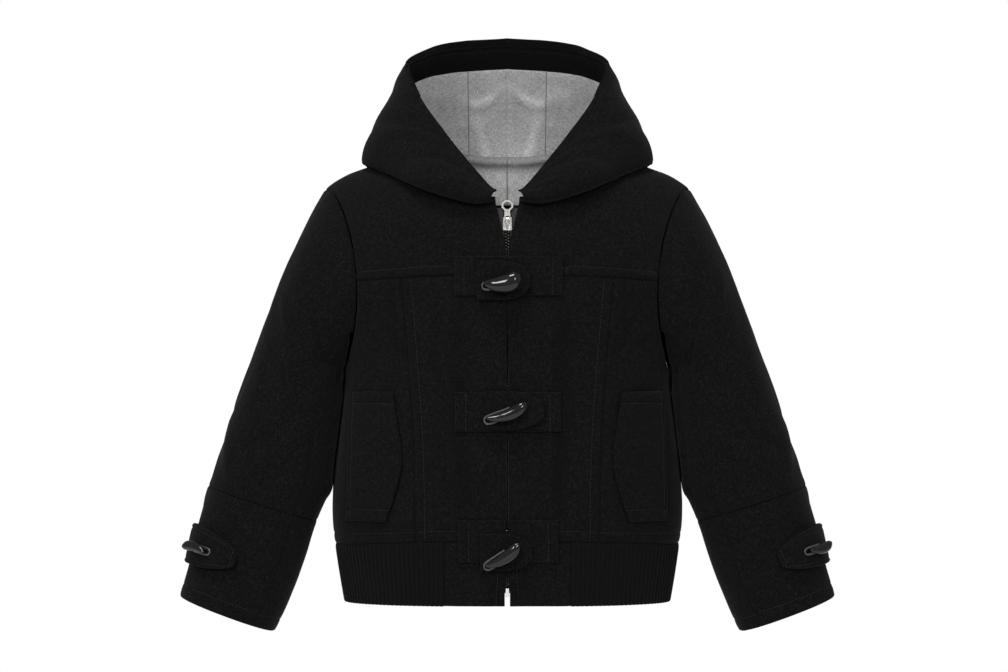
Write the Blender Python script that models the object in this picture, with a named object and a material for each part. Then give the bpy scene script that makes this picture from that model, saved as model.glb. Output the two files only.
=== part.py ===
"""A child's hooded bomber jacket of black napped wool, filled out as when it is worn.

Frame: metres, +Z up. The front faces -Y and the wearer's left is +X. The origin lies on the middle
plane, between the tops of the shoulders, where the wearer holds the jacket up.
Tables are in millimetres, a row for each section or fold, and their columns are named above them.
"""

import functools
import math

import bmesh
import bpy
import numpy as np
from mathutils import Vector
from mathutils.bvhtree import BVHTree

MM = 0.001
RAD = math.pi / 180.0

# ---------------------------------------------------------------- driving sizes
WOOL = 2.4 * MM              # wall of the napped wool
LINING = 1.0 * MM            # wall of the woven lining
TAB_WALL = 2.0 * MM          # wall of tabs and pockets
SEAM = 0.3 * MM              # gap between two pieces at a seam
LAY = 0.6 * MM               # gap under a piece that lies on a panel
HOOD_LAY = 1.4 * MM          # gap under the hood where it lies on the shoulders
RIDGE_LAY = 2.4 * MM         # more gap over the shoulder's ridge, and how far from it that reaches
RIDGE_REACH = 55.0 * MM
SECTION_POWER = 2.3          # roundness of the body's sections, 2 is an ellipse

YOKE_HEIGHT = -106.5 * MM    # yoke seam, at the armhole
HEM_SEAM = -343.0 * MM       # where the body meets the hem
HEM_EDGE = -396.0 * MM       # lower edge of the hem
UNDERARM = -184.0 * MM
NECK_REACH = 0.51            # column of the front, as a share of its width, where the neckline ends
FRONT_NECK_RISE = 0.36       # height of the neckline at the zip, as a share of the shoulder's rise
BACK_NECK_RISE = 0.62        # height of the neckline at the middle of the back
FRONT_DOME = 2.2             # roundness of the shoulder, front
BACK_DOME = 3.4              # roundness of the shoulder behind the neck

RIB_PITCH = 4.4 * MM
RIB_RAISE = 0.9 * MM
RIB_WALL = 1.6 * MM
BLOCK_WIDTH = 57.0 * MM      # wool block of the hem, from the zip to the rib
BLOCK_WALL = 3.0 * MM

LINING_SEAM = 37.0 * MM      # seams of the hood lining's middle strips, from the middle plane
FACING_DEPTH = 57.0 * MM
NECK_ROWS = (0.4, 0.6, 0.8)  # shares of the shoulder's rise at the neck lining's rows
NECK_COLUMNS = 4             # columns of the back that the neck lining spans, short of the neck point
NECK_CLEAR = 1.2 * MM        # gap between the turned up end of the neck lining and the raw edges

TAPE_WIDTH = 11.0 * MM
TAPE_WALL = 1.0 * MM
CHAIN_WIDTH = 4.8 * MM
CHAIN_WALL = 1.9 * MM
ZIP_TOP = -37.0 * MM
SLIDER_HEIGHT = -52.0 * MM   # middle of the zip's slider
CHAIN_TOP = -51.0 * MM
STOP_TOP = -379.0 * MM
STOP_FOOT = -387.0 * MM
SLIDER_PLATE = 1.2           # millimetres, as the rest of the slider and the pull tab
PULL_HINGE = 3.2             # the pull's pin over the slider's middle
PULL_CENTRE = 13.8           # middle of the pull's ring over its pin
PULL_RING = 5.6
PULL_HOLE = 3.7
PULL_LEAN = 20.0             # degrees that the pull tab leans back on the zip

POCKET_GAPE = 1.2 * MM       # how far the pocket's free edge stands open
TAB_PROUD = 3.0 * MM         # how far the tip of an overlapping tab stands off
TAB_SHARES = (0, 0.2, 0.4, 0.56, 0.7, 0.82, 0.92, 0.99)
TAB_ROUND = 0.42
STRAP_WALL = 2.6 * MM
STRAP_LAY = 1.1 * MM
STRAP_ANGLES = (-78.0, 84.0)  # round the sleeve, from behind to the tip in front
STRAP_SHARES = (0, 0.1, 0.2, 0.3, 0.4, 0.5, 0.6, 0.7, 0.79, 0.87, 0.94, 0.995)
STRAP_SECTION = 7.5
STRAP_ROUND = 0.66
CORD_RADIUS = 1.1 * MM
CORD_WIDTH = 7.5 * MM        # from strand to strand, and on the cuffs
CUFF_CORD_WIDTH = 6.0 * MM
CORD_SHOW = 3.0 * MM         # how far the bend shows beyond the toggle's narrow end
CORD_END = 0.10              # where the strands end under the toggle, as a share of its length
TOGGLE_SIDES = 8
TOGGLE_SECTIONS = 9
TOGGLE_BOW = 0.10            # bow of a toggle as a share of its length
TOGGLE_FLAT = 0.8            # height of a toggle's section as a share of its width
CUFF_TOGGLE_LENGTH = 27 * MM
CUFF_TOGGLE_RADIUS = 4.4 * MM
CUFF_TOGGLE_SHARE = 0.72
CUFF_TOGGLE_TILT = 14.0

SIDES = (("right", -1), ("left", 1))


class Profile:
    """A short table read as smooth curves: profile(key) gives the row's other columns there."""

    def __init__(self, *rows, scale=MM, key_scale=MM):
        data = np.array(rows, dtype=float)
        self.keys = data[:, 0] * key_scale
        self.values = data[:, 1:] * scale
        steps = np.diff(self.keys)[:, None]
        slopes = np.diff(self.values, axis=0) / steps
        inner = (slopes[:-1] * steps[1:] + slopes[1:] * steps[:-1]) / (steps[:-1] + steps[1:])
        self.slopes = np.vstack((slopes[:1], inner, slopes[-1:]))

    def __call__(self, key):
        key = min(max(key, self.keys[0]), self.keys[-1])
        i = min(int(np.searchsorted(self.keys, key, side="right")) - 1, len(self.keys) - 2)
        span = self.keys[i + 1] - self.keys[i]
        t = (key - self.keys[i]) / span
        a, b = self.values[i], self.values[i + 1]
        da, db = self.slopes[i] * span, self.slopes[i + 1] * span
        result = (a * (2 * t**3 - 3 * t**2 + 1) + da * (t**3 - 2 * t**2 + t)
                  + b * (3 * t**2 - 2 * t**3) + db * (t**3 - t**2))
        return result if len(result) > 1 else float(result[0])


# ---------------------------------------------------------------- the body's tables
# height at the side, half width, front depth, back depth, rise of the middle over the side
BODY = Profile(
    (-402, 148.0, 79, 77, 0),
    (-370, 153.3, 83.5, 80.5, 3),
    (-343, 157.5, 87, 83, 6),
    (-330, 159.5, 89, 85, 5),
    (-298, 160.5, 90, 86, 3),
    (-270, 158.5, 90, 86, 1),
    (-240, 154.5, 89, 86, 0),
    (-212, 151.0, 88, 86, 0),
    (-184, 149.5, 87, 86, 0),
    (-168, 152.0, 86, 86, 2),
    (-150, 155.5, 86, 86, 4),
    (-127, 162.0, 86, 86, 7),
    (-106.5, 171.0, 85, 85, 8),
)
# height, distance of the armhole seam from the middle plane
ARMHOLE = Profile((-184, 149.5), (-180, 147.2), (-168, 143.5), (-150, 139), (-127, 136), (-106.5, 136))
# share of the shoulder's rise, distance of the armhole seam from the middle plane
SHOULDER_SEAM = Profile((0, 136), (0.2, 140.5), (0.4, 148), (0.6, 156), (0.8, 163.5), (1, 168), key_scale=1)
# distance from the middle plane, height of the shoulder's ridge
RIDGE = Profile((0, 24), (40, 21), (68, 16.5), (100, 9.5), (134, 0), (153.6, -8.4), (168, -18.4), (180, -30))
# height, distance of the princess seam from the middle plane
PRINCESS = Profile((-343, 82.5), (-272, 83), (-192, 87.5), (-106.5, 95.5))
# height, distance of the front edge from the middle plane
FRONT_EDGE = Profile(
    (-396, 2.3), (-384, 2.2), (-372, 0.9), (-343, 0.9), (-200, 0.9), (-84, 0.9), (-72, 1.6), (-52, 6.0), (-33, 10.5)
)
# soft folds of the front: top x and height, foot x and height, half width, height of the fold
FRONT_FOLDS = (
    (-47, -122, -44, -322, 16, -3.0),
    (50, -126, 45, -318, 16, -3.0),
    (-24, -128, -25, -318, 11, 1.0),
    (25, -130, 25, -318, 11, 1.0),
    (-112, -60, -96, -196, 15, -1.8),
    (110, -64, 97, -186, 15, -1.8),
    (-124, -140, -70, -205, 11, 1.4),
    (126, -146, 74, -196, 11, 1.4),
    (-66, -215, -60, -330, 14, 1.6),
    (66, -230, 61, -330, 14, 1.6),
)
# soft folds of the back, as above
BACK_FOLDS = (
    (-60, -150, -52, -325, 20, -2.6),
    (58, -160, 50, -325, 20, -2.6),
    (-110, -130, -84, -240, 15, -2.0),
    (108, -140, 86, -232, 15, -2.0),
    (-4, -190, 3, -325, 22, 2.0),
)

# shares of the width, from the front edge to the princess seam and from there to the side
CENTRE_COLUMNS = (0, 0.1, 0.2, 0.29, 0.37, 0.44, 0.485, NECK_REACH, 0.6, 0.7, 0.8, 0.9, 1)
SIDE_COLUMNS = (0, 0.22, 0.44, 0.64, 0.82, 1)
# shares of the width of the back's half, from the middle to the side
BACK_COLUMNS = (0, 0.16, 0.28, 0.36, 0.41, 0.54, 0.7, 0.86, 1)
# heights of the body's rows at the side, up to the yoke seam
WALL_ROWS = tuple(h * MM for h in (-343, -326, -300, -270, -240, -212, -184, -180, -168, -150, -127, -106.5))
# shares of the shoulder's rise
SHOULDER_ROWS = (0, 0.2, 0.4, 0.6, 0.8, 1)

# ---------------------------------------------------------------- the sleeve's table
# section, outer x and height, inner x and height, half depth, distance of its middle in front
SLEEVE = Profile(
    (0, 168.0, -18.4, 149.5, -184.0, 57, 0),
    (1, 190.4, -59.8, 151.2, -187.0, 54, 2),
    (2, 211.6, -112.2, 151.6, -192.5, 51, 4),
    (3, 230.0, -161.0, 152.8, -213.0, 48, 6),
    (4, 248.4, -211.6, 156.8, -249.0, 46, 9),
    (5, 263.1, -257.6, 162.0, -291.0, 44, 12),
    (6, 272.3, -289.8, 174.0, -321.5, 42, 14),
    (7, 283.4, -328.4, 186.3, -360.6, 40, 16),
    (8, 290.7, -361.6, 198.9, -392.8, 38, 18),
    (9, 299.0, -390.0, 212.5, -422.3, 36, 20),
    key_scale=1,
)
SLEEVE_POWER = 2.2
CROSS_SEAM = 6.0
# soft folds of the sleeve: section and angle at its middle, half length in sections, half width
# in degrees, turn in degrees for each section, height
SLEEVE_FOLDS = (
    (2.2, 118, 1.5, 20, -24, -2.2),
    (3.6, 62, 1.6, 17, 10, -1.6),
    (4.4, 100, 1.0, 15, -30, 2.0),
    (5.2, 40, 1.1, 16, 22, 1.6),
    (4.9, 8, 0.9, 16, 30, -1.4),
    (2.0, 20, 1.4, 18, 8, 1.4),
    (3.4, -60, 1.7, 20, 16, -2.2),
    (4.9, -104, 1.0, 18, -26, 2.0),
    (2.2, -112, 1.2, 20, 20, -1.8),
)
SLEEVE_ROWS = (0, 0.4, 1, 2, 3, 4, 5, CROSS_SEAM)
CUFF_ROWS = (CROSS_SEAM, 7, 8, 9)
SLEEVE_SEAM_ROW = 3          # the armhole's row, from the underarm up, where the sleeve's seams meet it

# ---------------------------------------------------------------- the hood's table
# way round from the zip (0) to the middle of the back (1); rim x, y, z; fold x, y, z;
# fullness at the rim, over the fold and under it; tuck of the fold; fall of the hood at the rim
HOOD = Profile(
    (0.00, 9.0, -80.0, -22.0, 14.0, -85.0, -30.0, 4, 5, 6, 0.8, 0.0),
    (0.10, 15.0, -77.5, -18.5, 32.0, -86.0, -32.0, 8, 10, 9, 0.8, 0.0),
    (0.22, 37.0, -68.5, 7.5, 72.0, -77.5, -21.0, 20, 20, 11, 0.7, 0.0),
    (0.34, 54.5, -58.0, 29.5, 102.0, -52.0, -7.5, 28, 24, 12, 0.5, 0.0),
    (0.48, 80.0, -37.0, 66.0, 133.5, -12.0, 7.0, 32, 26, 12, 0.2, 0.0),
    (0.60, 92.5, -20.0, 97.0, 115.0, 60.0, -2.0, 30, 34, 13, 0.0, -0.1),
    (0.70, 70.5, -12.0, 111.2, 90.0, 86.0, -7.0, 33, 44, 14, 0.0, -0.3),
    (0.80, 54.0, -7.0, 116.5, 64.0, 104.0, -10.0, 36, 52, 15, 0.0, -0.5),
    (1.00, 0.0, 0.0, 121.5, 0.0, 118.0, -12.0, 38, 56, 16, 0.0, -0.55),
    key_scale=1,
)
HOOD_CORNER = 0.60           # where the side panel meets the wide middle panel
HOOD_FRONT_SHARE = 0.44      # way round where the neckline passes the shoulder
HOOD_SIDE_COLUMNS = (0, 0.04, 0.08, 0.12, 0.17, 0.22, 0.28, 0.34, 0.41, 0.48, 0.54, 0.6)
HOOD_CENTRE_SHARES = (0, 0.22, 0.45, 0.72, 1)    # columns from the corner to the lining's seam
HOOD_STRIP_SHARES = (0.35, 0.68, 1)              # columns from the lining's seam to the middle
FACING_START = 0.50          # way round where the facing begins, over the front edges
EDGE_SHOW = 3.0 * MM         # wool that shows between the hood's edge and its lining
LINING_START = 4             # column of the hood's side where the lining begins, clear of the zip
UPPER_SHARES = (0.25, 0.5, 0.72, 0.88, 1)    # rows from the facing's edge to the fold
LOWER_SHARES = (0.12, 0.32, 0.55, 0.8, 1)    # rows from the fold to the neckline

# ---------------------------------------------------------------- trims
# rows of tabs: patch's outer x (wearer's right and left), top and foot; tab's outer x, tip x, top, foot
TAB_ROWS = {
    "top": (-47.5, 49.5, -81.5, -117.0, -27.0, 20.0, -86.0, -121.0),
    "middle": (-46.5, 47.5, -203.0, -238.5, -20.0, 31.0, -202.5, -237.0),
    "bottom": (-43.5, 45.5, -317.0, -355.5, -24.0, 21.5, -328.5, -362.0),
}
# toggles: middle x and height, tilt in degrees, length, widest radius at the broad end
TOGGLES = {
    "top": (-3.5, -106.0, 10.0, 33.0, 8.0),
    "middle": (0.0, -222.0, 20.0, 38.0, 5.4),
    "bottom": (-3.0, -348.0, 34.0, 36.0, 5.4),
}
# share of a toggle's length, share of its widest radius
HORN = Profile((0, 0.28), (0.15, 0.60), (0.4, 0.86), (0.68, 1.0), (0.88, 0.84), (1, 0.36), scale=1, key_scale=1)
# height, x of the pocket's free edge, x of its sewn side edge
POCKET = Profile((-320, 108.5, 144.0), (-300, 101.5, 143.8), (-264, 93.6, 143.0), (-230, 98.0, 142.0),
                 (-203, 101.7, 141.0))


# ---------------------------------------------------------------- small helpers
def unit(vector):
    return vector / np.linalg.norm(vector)


def power(value, exponent):
    return math.copysign(abs(value) ** exponent, value)


def ease(value):
    value = min(max(value, 0.0), 1.0)
    return value * value * (3.0 - 2.0 * value)


def folds_at(folds, x, height):
    """Height of the soft folds of a panel at a place: each runs from its top to its foot."""
    total = 0.0
    for top_x, top, foot_x, foot, half_width, raise_by in folds:
        along = (top - height / MM) / (top - foot)
        middle = top_x + (foot_x - top_x) * along
        across = abs(x / MM - middle) / half_width
        if across >= 1.0 or along <= -0.1 or along >= 1.1:
            continue
        ends = ease((along + 0.1) / 0.3) * ease((1.1 - along) / 0.3)
        total += raise_by * MM * math.cos(across * math.pi / 2) ** 2 * ends
    return total


def with_normal(surface, a, b, outward, step=1e-3):
    """The surface's point at (a, b), and its normal on the side that outward points to."""
    du = surface(a + step, b) - surface(a - step, b)
    dv = surface(a, b + step) - surface(a, b - step)
    normal = unit(np.cross(du, dv))
    point = surface(a, b)
    if np.dot(normal, outward(point)) < 0:
        normal = -normal
    return point, normal


# ---------------------------------------------------------------- the body's surface
def angle_of(x, level):
    """Angle round the body, from the middle of a face, of a distance x from the middle plane."""
    half_width = BODY(YOKE_HEIGHT + min(level, 0.0))[0]
    return math.asin(min(abs(x) / half_width, 1.0) ** (SECTION_POWER / 2))


def body(angle, level):
    """Outer surface of the body. The angle is 0 at the zip and grows to the wearer's left. A level
    to 0 is the height under the yoke seam; from 0 to 1 it is the share of the shoulder's rise."""
    half_width, front, back, rise = BODY(YOKE_HEIGHT + min(level, 0.0))
    across, forward = math.sin(angle), math.cos(angle)
    x = half_width * power(across, 2 / SECTION_POWER)
    depth = front if forward > 0 else back
    y = -depth * power(forward, 2 / SECTION_POWER)
    z = YOKE_HEIGHT + min(level, 0.0) + rise * max(0.0, 1 - (x / half_width) ** 2)
    if level > 0:
        turn = min(level, 1.0) * math.pi / 2
        roundness = FRONT_DOME
        if forward < 0:
            roundness = BACK_DOME + (FRONT_DOME - BACK_DOME) * ease((abs(x) - 0.05) / 0.07)
        y *= max(math.cos(turn), 0.0) ** (2 / roundness)
        z += (RIDGE(abs(x)) - z) * math.sin(turn) ** (2 / roundness)
    folds = FRONT_FOLDS if forward > 0 else BACK_FOLDS
    fade = min(1.0, abs(forward) * 3.0)
    y -= math.copysign(folds_at(folds, x, z), forward) * fade
    return np.array((x, y, z))


def body_outward(point):
    return np.array((point[0], point[1], max(point[2] - YOKE_HEIGHT, 0.0) * 1.5))


def body_at(angle, level):
    level = min(level, 0.999)
    return with_normal(body, angle, level, body_outward)


def front_at(x, height):
    """Point and normal of the front at a place of its front view."""
    low, high = HEM_EDGE - YOKE_HEIGHT, 1.0
    for _ in range(30):
        level = (low + high) / 2
        if body(math.copysign(angle_of(x, level), x), level)[2] < height:
            low = level
        else:
            high = level
    return body_at(math.copysign(angle_of(x, level), x), level)


def front_edge_level(level):
    """Distance of the front edge from the middle plane at a level of the body."""
    height = YOKE_HEIGHT + level if level <= 0 else body(0.0, level)[2]
    return FRONT_EDGE(height)


def armhole_distance(level):
    return ARMHOLE(YOKE_HEIGHT + level) if level <= 0 else SHOULDER_SEAM(level)


def outer_angle(level):
    """Angle of the side seam, or of the armhole seam above the underarm."""
    if YOKE_HEIGHT + level <= UNDERARM:
        return math.pi / 2
    return angle_of(armhole_distance(level), level)


def yoke_share(angle):
    """Share of the yoke's width, from the front edge to the armhole, of an angle on the yoke seam."""
    edge = front_edge_level(0.0)
    return (body(angle, 0.0)[0] - edge) / (armhole_distance(0.0) - edge)


def neck_level(share, neck_share, middle_rise):
    """Level of the neckline at a share of the width: a quarter round from the middle to the neck."""
    across = min(share / neck_share, 1.0)
    return middle_rise + (1.0 - middle_rise) * (1.0 - math.sqrt(max(0.0, 1.0 - across**2)))


# ---------------------------------------------------------------- meshes
def material(name, colour, roughness, metallic=0.0):
    made = bpy.data.materials.new(name)
    made.use_nodes = True
    shader = made.node_tree.nodes["Principled BSDF"]
    shader.inputs["Base Color"].default_value = (*colour, 1.0)
    shader.inputs["Roughness"].default_value = roughness
    shader.inputs["Metallic"].default_value = metallic
    made.diffuse_color = (*colour, 1.0)
    return made


def new_collection(name):
    made = bpy.data.collections.new(name)
    bpy.context.scene.collection.children.link(made)
    return made


def add_mesh(name, vertices, faces, finish):
    """A closed mesh with its faces turned outwards, in the jacket's collection."""
    mesh = bpy.data.meshes.new(name)
    mesh.from_pydata([tuple(v) for v in vertices], [], faces)
    work = bmesh.new()
    work.from_mesh(mesh)
    bmesh.ops.recalc_face_normals(work, faces=work.faces)
    work.to_mesh(mesh)
    work.free()
    mesh.shade_smooth()
    mesh.set_sharp_from_angle(angle=50 * RAD)
    mesh.materials.append(finish)
    made = bpy.data.objects.new(name, mesh)
    bpy.data.collections["jacket"].objects.link(made)
    return made


def trim(points, edges):
    """Moves the named edges of a grid inwards by half a seam's gap: first/last row, first/last column."""
    moved = points.copy()
    half = SEAM / 2
    steps = {"bottom": (0, 1), "top": (-1, -2)}
    for edge, (own, inner) in steps.items():
        if edge in edges:
            for j in range(points.shape[1]):
                moved[own, j] += half * unit(points[inner, j] - points[own, j])
    steps = {"start": (0, 1), "end": (-1, -2)}
    for edge, (own, inner) in steps.items():
        if edge in edges:
            for i in range(points.shape[0]):
                moved[i, own] += half * unit(points[i, inner] - points[i, own])
    return moved


def wall(name, outer, inner, finish, turned=()):
    """A closed wall between two grids of the same shape. Both faces are split along the same
    diagonals, so that layers made from the same cells stay parallel. The diagonals of the turned
    columns run the other way, which makes a piece across the middle plane its own mirror image."""
    rows, columns = outer.shape[:2]
    count = rows * columns
    vertices = np.vstack((outer.reshape(-1, 3), inner.reshape(-1, 3)))
    faces = []
    for i in range(rows - 1):
        for j in range(columns - 1):
            a, b = i * columns + j, i * columns + j + 1
            c, d = b + columns, a + columns
            halves = [(b, c, d), (b, d, a)] if j in turned else [(a, b, c), (a, c, d)]
            faces += halves
            faces += [(count + r, count + q, count + p) for p, q, r in halves]
    border = [(0, j) for j in range(columns)] + [(i, columns - 1) for i in range(1, rows)]
    border += [(rows - 1, j) for j in range(columns - 2, -1, -1)] + [(i, 0) for i in range(rows - 2, 0, -1)]
    ring = [i * columns + j for i, j in border]
    for a, b in zip(ring, ring[1:] + ring[:1]):
        faces += [(b, a, count + a), (b, count + a, count + b)]
    return add_mesh(name, vertices, faces, finish)


def cloth(name, grid, thickness, finish, edges=("bottom", "top", "start", "end"), lift=0.0, turned=()):
    """A wall made from a grid of (point, normal), lifted off it and thick to the inside."""
    points = np.array([[cell[0] for cell in row] for row in grid])
    normals = np.array([[cell[1] for cell in row] for row in grid])
    outer = trim(points + normals * lift, edges)
    return wall(name, outer, outer - normals * thickness, finish, turned)


# ---------------------------------------------------------------- body panels
def panel_angles(columns, first, last):
    return [first + (last - first) * share for share in columns]


def build_fronts(wool):
    for side, sign in SIDES:
        centre, flank = [], []
        for height in WALL_ROWS:
            level = height - YOKE_HEIGHT
            edge = angle_of(front_edge_level(level), level)
            princess = angle_of(PRINCESS(height), level)
            outer = outer_angle(level)
            centre.append([body_at(sign * a, level) for a in panel_angles(CENTRE_COLUMNS, edge, princess)])
            flank.append([body_at(sign * a, level) for a in panel_angles(SIDE_COLUMNS, princess, outer)])
        cloth(f"front_centre_{side}", centre, WOOL, wool, ("bottom", "top", "end"))
        cloth(f"front_side_{side}", flank, WOOL, wool)


def yoke_shares():
    edge, princess = angle_of(front_edge_level(0.0), 0.0), angle_of(PRINCESS(YOKE_HEIGHT), 0.0)
    angles = panel_angles(CENTRE_COLUMNS, edge, princess)
    angles += panel_angles(SIDE_COLUMNS, princess, outer_angle(0.0))[1:]
    return [yoke_share(a) for a in angles]


SHARES = yoke_shares()
NECK_SHARE = SHARES[CENTRE_COLUMNS.index(NECK_REACH)]


def yoke_angle(share, level):
    edge = front_edge_level(level)
    return angle_of(edge + (armhole_distance(level) - edge) * share, level)


def build_yokes(wool):
    for side, sign in SIDES:
        grid = []
        for row in SHOULDER_ROWS:
            cells = []
            for share in SHARES:
                level = row * neck_level(share, NECK_SHARE, FRONT_NECK_RISE)
                cells.append(body_at(sign * yoke_angle(share, level), level))
            grid.append(cells)
        cloth(f"front_yoke_{side}", grid, WOOL, wool, ("bottom", "top", "end"))


def back_angle(share, level):
    """Angle round the body of a share of the back's half width."""
    if level <= 0:
        return math.pi - outer_angle(level) * angle_of(armhole_distance(0.0) * share, 0.0) / outer_angle(0.0)
    return math.pi - angle_of(armhole_distance(level) * share, level)


def build_back(wool):
    """The back, and the yoke over it, which meets the front's at the shoulders."""
    mirrored = [-s for s in reversed(BACK_COLUMNS[1:])] + list(BACK_COLUMNS)
    grid = []
    for height in WALL_ROWS:
        level = height - YOKE_HEIGHT
        grid.append([body_at(math.copysign(back_angle(abs(s), level), s), level) for s in mirrored])
    for row in SHOULDER_ROWS[1:]:
        cells = []
        for share in mirrored:
            level = row * neck_level(abs(share), BACK_COLUMNS[4], BACK_NECK_RISE)
            cells.append(body_at(math.copysign(back_angle(abs(share), level), share), level))
        grid.append(cells)
    seam, turned = len(WALL_ROWS), range(len(BACK_COLUMNS) - 1)
    cloth("back", grid[:seam], WOOL, wool, turned=turned)
    cloth("back_yoke", grid[seam - 1:], WOOL, wool, turned=turned)


@functools.lru_cache(maxsize=None)
def neckline(way):
    """Point, outward normal and direction into the neck of the neckline, from the zip (0) to the
    middle of the back (1), on the wearer's left."""
    def at(part):
        if part <= HOOD_FRONT_SHARE:
            share = NECK_SHARE * math.sin(max(part, 0.0) / HOOD_FRONT_SHARE * math.pi / 2)
            level = neck_level(share, NECK_SHARE, FRONT_NECK_RISE)
            return yoke_angle(share, level), level
        rest = (1.0 - part) / (1.0 - HOOD_FRONT_SHARE)
        share = BACK_COLUMNS[4] * math.sin(rest * math.pi / 2)
        level = neck_level(abs(share), BACK_COLUMNS[4], BACK_NECK_RISE)
        angle = back_angle(abs(share), level)
        return (angle if share >= 0 else 2 * math.pi - angle), level

    point, normal = body_at(*at(way))
    along = body(*at(min(way + 0.01, 1.01))) - body(*at(way - 0.01 if way > 0.01 else 0.0))
    inward = unit(np.cross(normal, along))
    if np.dot(inward, -point + np.array((0.0, 0.0, point[2]))) < 0:
        inward = -inward
    return point, normal, inward


# ---------------------------------------------------------------- hem
def rib_angles():
    """Angles of the rib's valleys and crests, evenly spaced round the hem from block to block."""
    level = (HEM_SEAM + HEM_EDGE) / 2 - YOKE_HEIGHT
    start = angle_of(BLOCK_WIDTH, level)
    fine = np.linspace(start, 2 * math.pi - start, 1500)
    path = np.array([body(a, level) for a in fine])
    run = np.concatenate(([0.0], np.cumsum(np.linalg.norm(np.diff(path, axis=0), axis=1))))
    count = 2 * round(run[-1] / RIB_PITCH)
    return np.interp(np.linspace(0.0, run[-1], count + 1), run, fine)


def build_hem(wool, rib):
    middle = (HEM_SEAM + HEM_EDGE) / 2
    for side, sign in SIDES:
        grid = []
        for height in (HEM_EDGE, middle - 14 * MM, middle, HEM_SEAM):
            level = height - YOKE_HEIGHT
            edge, end = angle_of(FRONT_EDGE(height), level), angle_of(BLOCK_WIDTH, level)
            cells = [body_at(sign * a, level) for a in np.linspace(edge, end, 6)]
            grid.append(cells)
        cloth(f"hem_block_{side}", grid, BLOCK_WALL, wool, ("top", "end"))
    angles = rib_angles()
    rows = []
    for height in (HEM_EDGE, HEM_SEAM):
        level = height - YOKE_HEIGHT
        start = angle_of(BLOCK_WIDTH, level)
        spread = (math.pi - start) / (math.pi - angles[0])
        rows.append([body_at(math.pi + (a - math.pi) * spread, level) for a in angles])
    points = np.array([[cell[0] for cell in row] for row in rows])
    normals = np.array([[cell[1] for cell in row] for row in rows])
    base = trim(points, ("top", "start", "end"))
    crest = (np.arange(len(angles)) % 2)[None, :, None]
    outer = base + normals * RIB_RAISE * crest
    inner = base - normals * RIB_WALL
    wall("rib_hem", outer, inner, rib)


# ---------------------------------------------------------------- sleeves
def armhole_samples():
    """The armhole seam's points and normals, front and back, from the underarm up."""
    levels = [h - YOKE_HEIGHT for h in WALL_ROWS if h >= UNDERARM] + list(SHOULDER_ROWS[1:])
    front = [body_at(outer_angle(level), level) for level in levels]
    back = [body_at(math.pi - outer_angle(level), level) for level in levels]
    return front, back


ARM_FRONT, ARM_BACK = armhole_samples()


def sleeve_angles():
    """Angle round the sleeve of each armhole point: 0 on the shoulder, 180 at the underarm."""
    low, high = ARM_FRONT[0][0][2], ARM_FRONT[-1][0][2]
    middle, half = (low + high) / 2, (high - low) / 2
    return [math.acos(min(max((cell[0][2] - middle) / half, -1.0), 1.0)) for cell in ARM_FRONT]


ARM_ANGLES = sleeve_angles()
LOOP = Profile(
    *[(angle - 2 * math.pi, *cell[0]) for angle, cell in reversed(list(zip(ARM_ANGLES, ARM_FRONT)))][1:-1],
    *[(-angle, *cell[0]) for angle, cell in zip(ARM_ANGLES, ARM_BACK)],
    *[(angle, *cell[0]) for angle, cell in reversed(list(zip(ARM_ANGLES, ARM_FRONT)))][1:],
    *[(2 * math.pi - angle, *cell[0]) for angle, cell in zip(ARM_ANGLES, ARM_BACK)][1:-1],
    scale=1, key_scale=1,
)


def sleeve(angle, section):
    """Outer surface of the wearer's left sleeve. The angle is 0 outside and grows to the front."""
    outer_x, outer_z, inner_x, inner_z, depth, forward = SLEEVE(section)
    across, ahead = math.cos(angle), math.sin(angle)
    outer, inner = np.array((outer_x, -forward, outer_z)), np.array((inner_x, -forward, inner_z))
    centre, arm = (outer + inner) / 2, (outer - inner) / 2
    front = np.array((0.0, -depth, 0.0))
    point = centre + arm * power(across, 2 / SLEEVE_POWER) + front * power(ahead, 2 / SLEEVE_POWER)
    degrees = angle / RAD
    for middle, turn, half_length, half_width, twist, height in SLEEVE_FOLDS:
        along = (section - middle) / half_length
        off = (degrees - turn - twist * (section - middle) + 180) % 360 - 180
        if abs(along) < 1 and abs(off) < half_width:
            bump = math.cos(along * math.pi / 2) ** 2 * math.cos(off / half_width * math.pi / 2) ** 2
            point = point + unit(point - centre) * height * MM * bump
    joined = ease(section / 1.6)
    return LOOP(angle) * (1 - joined) + point * joined


def sleeve_outward(section):
    outer_x, outer_z, inner_x, inner_z, _, forward = SLEEVE(section)
    centre = np.array(((outer_x + inner_x) / 2, -forward, (outer_z + inner_z) / 2))
    return lambda point: point - centre


def sleeve_at(angle, section):
    return with_normal(sleeve, angle, section, sleeve_outward(section))


def armhole_cell(angle, cell):
    """The sleeve's cell on the armhole seam. Where the seam is a valley the sleeve keeps its own
    normal. Where it is a ridge the two walls share the body's normal, and the sleeve keeps a little
    more clear of the twisted edge."""
    point, normal = cell
    away = sleeve(angle, 0.4) - point
    if np.dot(away, normal) < 0:
        return point + unit(away) * SEAM / 2, normal
    return point, sleeve_at(angle, 0.15)[1]


def mirrored(cell, sign):
    flip = np.array((sign, 1.0, 1.0))
    return cell[0] * flip, cell[1] * flip


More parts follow.
